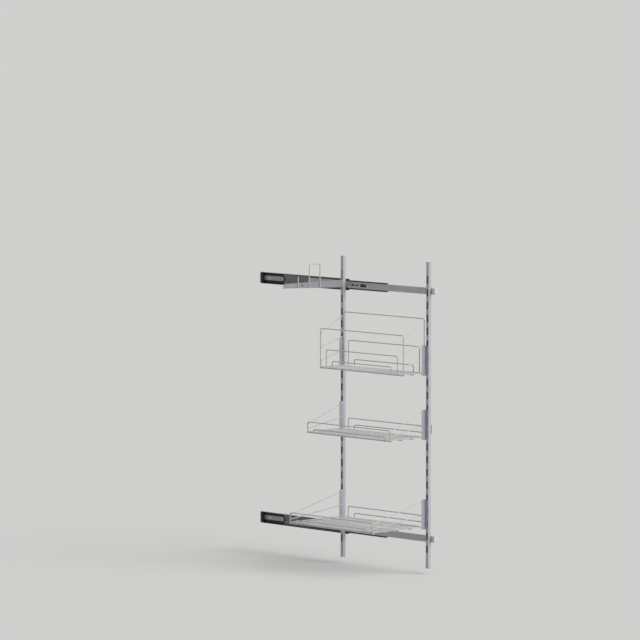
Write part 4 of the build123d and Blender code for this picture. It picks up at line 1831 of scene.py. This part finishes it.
    def build_screws(self) -> None:
        """Pan-head screws with a cross recess."""
        box, depth = self.box("post_screws"), self.recess_depth
        near_x, end, seat = box.low.x, box.high.x, box.low.x + self.screw_head_height
        head = cylinder((seat, 0, 0), (near_x, 0, 0), self.screw_head, HOLE_SIDES)
        round_at(head, X, near_x, self.screw_dome)
        long, short = self.recess_length / 2, self.recess_width / 2
        for tall, wide in ((long, short), (short, long)):
            cut(head, [block((near_x - depth, -tall, -wide), (near_x + depth, tall, wide))])
        shank = cylinder((seat - self.screw_sink, 0, 0), (end, 0, 0), self.screw, SHANK_SIDES)
        round_at(shank, X, end, self.screw_tip)
        self.deliver_fasteners(join([head, shank]), "post_screws", "turned")

    def build_nuts(self) -> None:
        """Hexagon nuts with chamfered corners."""
        low, high, run = self.box("post_nuts").low.x, self.box("post_nuts").high.x, self.cut_run
        nut = cylinder((low, 0, 0), (high, 0, 0), self.nut_across / math.sqrt(3), sides=6)
        with editing(nut):
            inset(nut, X, self.nut_border)
        cut(nut, [cylinder((low - run, 0, 0), (high + run, 0, 0), self.screw + self.thread_gap)])
        ease(nut, self.nut_edge)
        self.deliver_fasteners(nut, "post_nuts", "hexagon")


@dataclass(frozen=True)
class Floor:
    """The plain pale floor of the studio, in metres."""

    height: float = -0.1375
    reach: float = 400.0
    colour: Colour = (0.62, 0.62, 0.607)
    rough: float = 0.9
    glossiness: float = 0.1

    def build(self) -> None:
        """Lay the floor."""
        bpy.ops.object.select_all(action="DESELECT")
        bpy.ops.mesh.primitive_plane_add(size=self.reach, location=(0, 0, self.height))
        floor = bpy.context.object
        floor.name = "studio_floor"
        settle(floor)
        material = bpy.data.materials.new("studio_floor")
        material.use_nodes = True
        shader = material.node_tree.nodes["Principled BSDF"]
        shader.inputs["Base Color"].default_value = (*self.colour, 1)
        shader.inputs["Roughness"].default_value = self.rough
        shader.inputs["Specular IOR Level"].default_value = self.glossiness
        floor.data.materials.append(material)


@dataclass(frozen=True)
class Studio:
    """Soft light, and a camera at the angle that the rack is seen from."""

    camera_place: Point = (-13.5364, -14.1263, 2.4937)
    azimuth: float = -43.912
    pitch: float = -4.914
    lens: float = 277.7
    sensor: float = 36.0
    clip: tuple[float, float] = (0.1, 1000.0)
    seen: Colour = (0.62, 0.62, 0.605)
    light: Colour = (0.4, 0.4, 0.405)
    sun_from: Point = (0.25, -1.0, 0.85)
    sun_strength: float = 3.0
    sun_angle: float = 50.0

    def build(self) -> None:
        """Place the camera, the main light and the surroundings."""
        camera = bpy.data.objects.new("camera", bpy.data.cameras.new("camera"))
        camera.location = self.camera_place
        camera.rotation_euler = (math.radians(90 + self.pitch), 0, math.radians(self.azimuth))
        camera.data.lens = self.lens
        camera.data.sensor_width = self.sensor
        camera.data.clip_start, camera.data.clip_end = self.clip
        bpy.context.scene.collection.objects.link(camera)
        bpy.context.scene.camera = camera
        self.build_sun()
        self.build_world()
        bpy.context.scene.view_settings.view_transform = "Standard"

    def build_sun(self) -> None:
        """One wide, soft main light."""
        sun = bpy.data.objects.new("key", bpy.data.lights.new("key", "SUN"))
        sun.data.energy, sun.data.angle = self.sun_strength, math.radians(self.sun_angle)
        sun.rotation_euler = (-Vector(self.sun_from)).to_track_quat("-Z", "Y").to_euler()
        bpy.context.scene.collection.objects.link(sun)

    def build_world(self) -> None:
        """Even light from all round, and a paler background for what the camera and the metal see."""
        world = bpy.data.worlds.new("studio")
        world.use_nodes = True
        world.node_tree.nodes.clear()
        nodes = Nodes(world.node_tree)
        rays = nodes.add("LightPath")
        pale = nodes.math("MAXIMUM", rays.outputs["Is Camera Ray"], rays.outputs["Is Glossy Ray"])
        pale = nodes.math("MAXIMUM", pale, rays.outputs["Is Transmission Ray"])
        background = nodes.add("Background", Color=nodes.blend(pale, self.light, self.seen))
        nodes.set(nodes.add("OutputWorld"), "Surface", background.outputs[0])
        bpy.context.scene.world = world


LONG_LOOP = 197.5
SHORT_LOOP = 164.0
LOW_FRONT = ((None, None, 46.0), (LONG_LOOP, LONG_LOOP, 19.0))
LOW_BACK = ((None, LONG_LOOP, 50.0), (None, SHORT_LOOP, 25.0))
LOW_SIDES = ((107.0, 38.0), (52.0, 19.0))
BASKETS = (
    Basket(
        "top_basket",
        ((None, None, 160.0), (LONG_LOOP, LONG_LOOP, 78.0), (SHORT_LOOP, SHORT_LOOP, 34.0)),
        ((None, None, 218.5), (LONG_LOOP, LONG_LOOP, 108.0), (SHORT_LOOP, SHORT_LOOP, 34.0)),
        ((205.0, 139.0), (120.0, 85.0), (65.0, 32.0)),
    ),
    Basket("middle_basket", LOW_FRONT, LOW_BACK, LOW_SIDES),
    Basket("bottom_basket", LOW_FRONT, LOW_BACK, LOW_SIDES),
)


def main() -> None:
    """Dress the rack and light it."""
    logging.basicConfig(level=logging.INFO, format="%(message)s", force=True)
    Studio().build()
    Floor().build()
    for slide in Slide:
        SlideSet(slide).build()
    for post in ("rear_post", "front_post"):
        Post(post).build()
    PostTrim().build()
    for basket in BASKETS:
        basket.build()
    Arm().build()


if __name__ == "__main__":
    main()
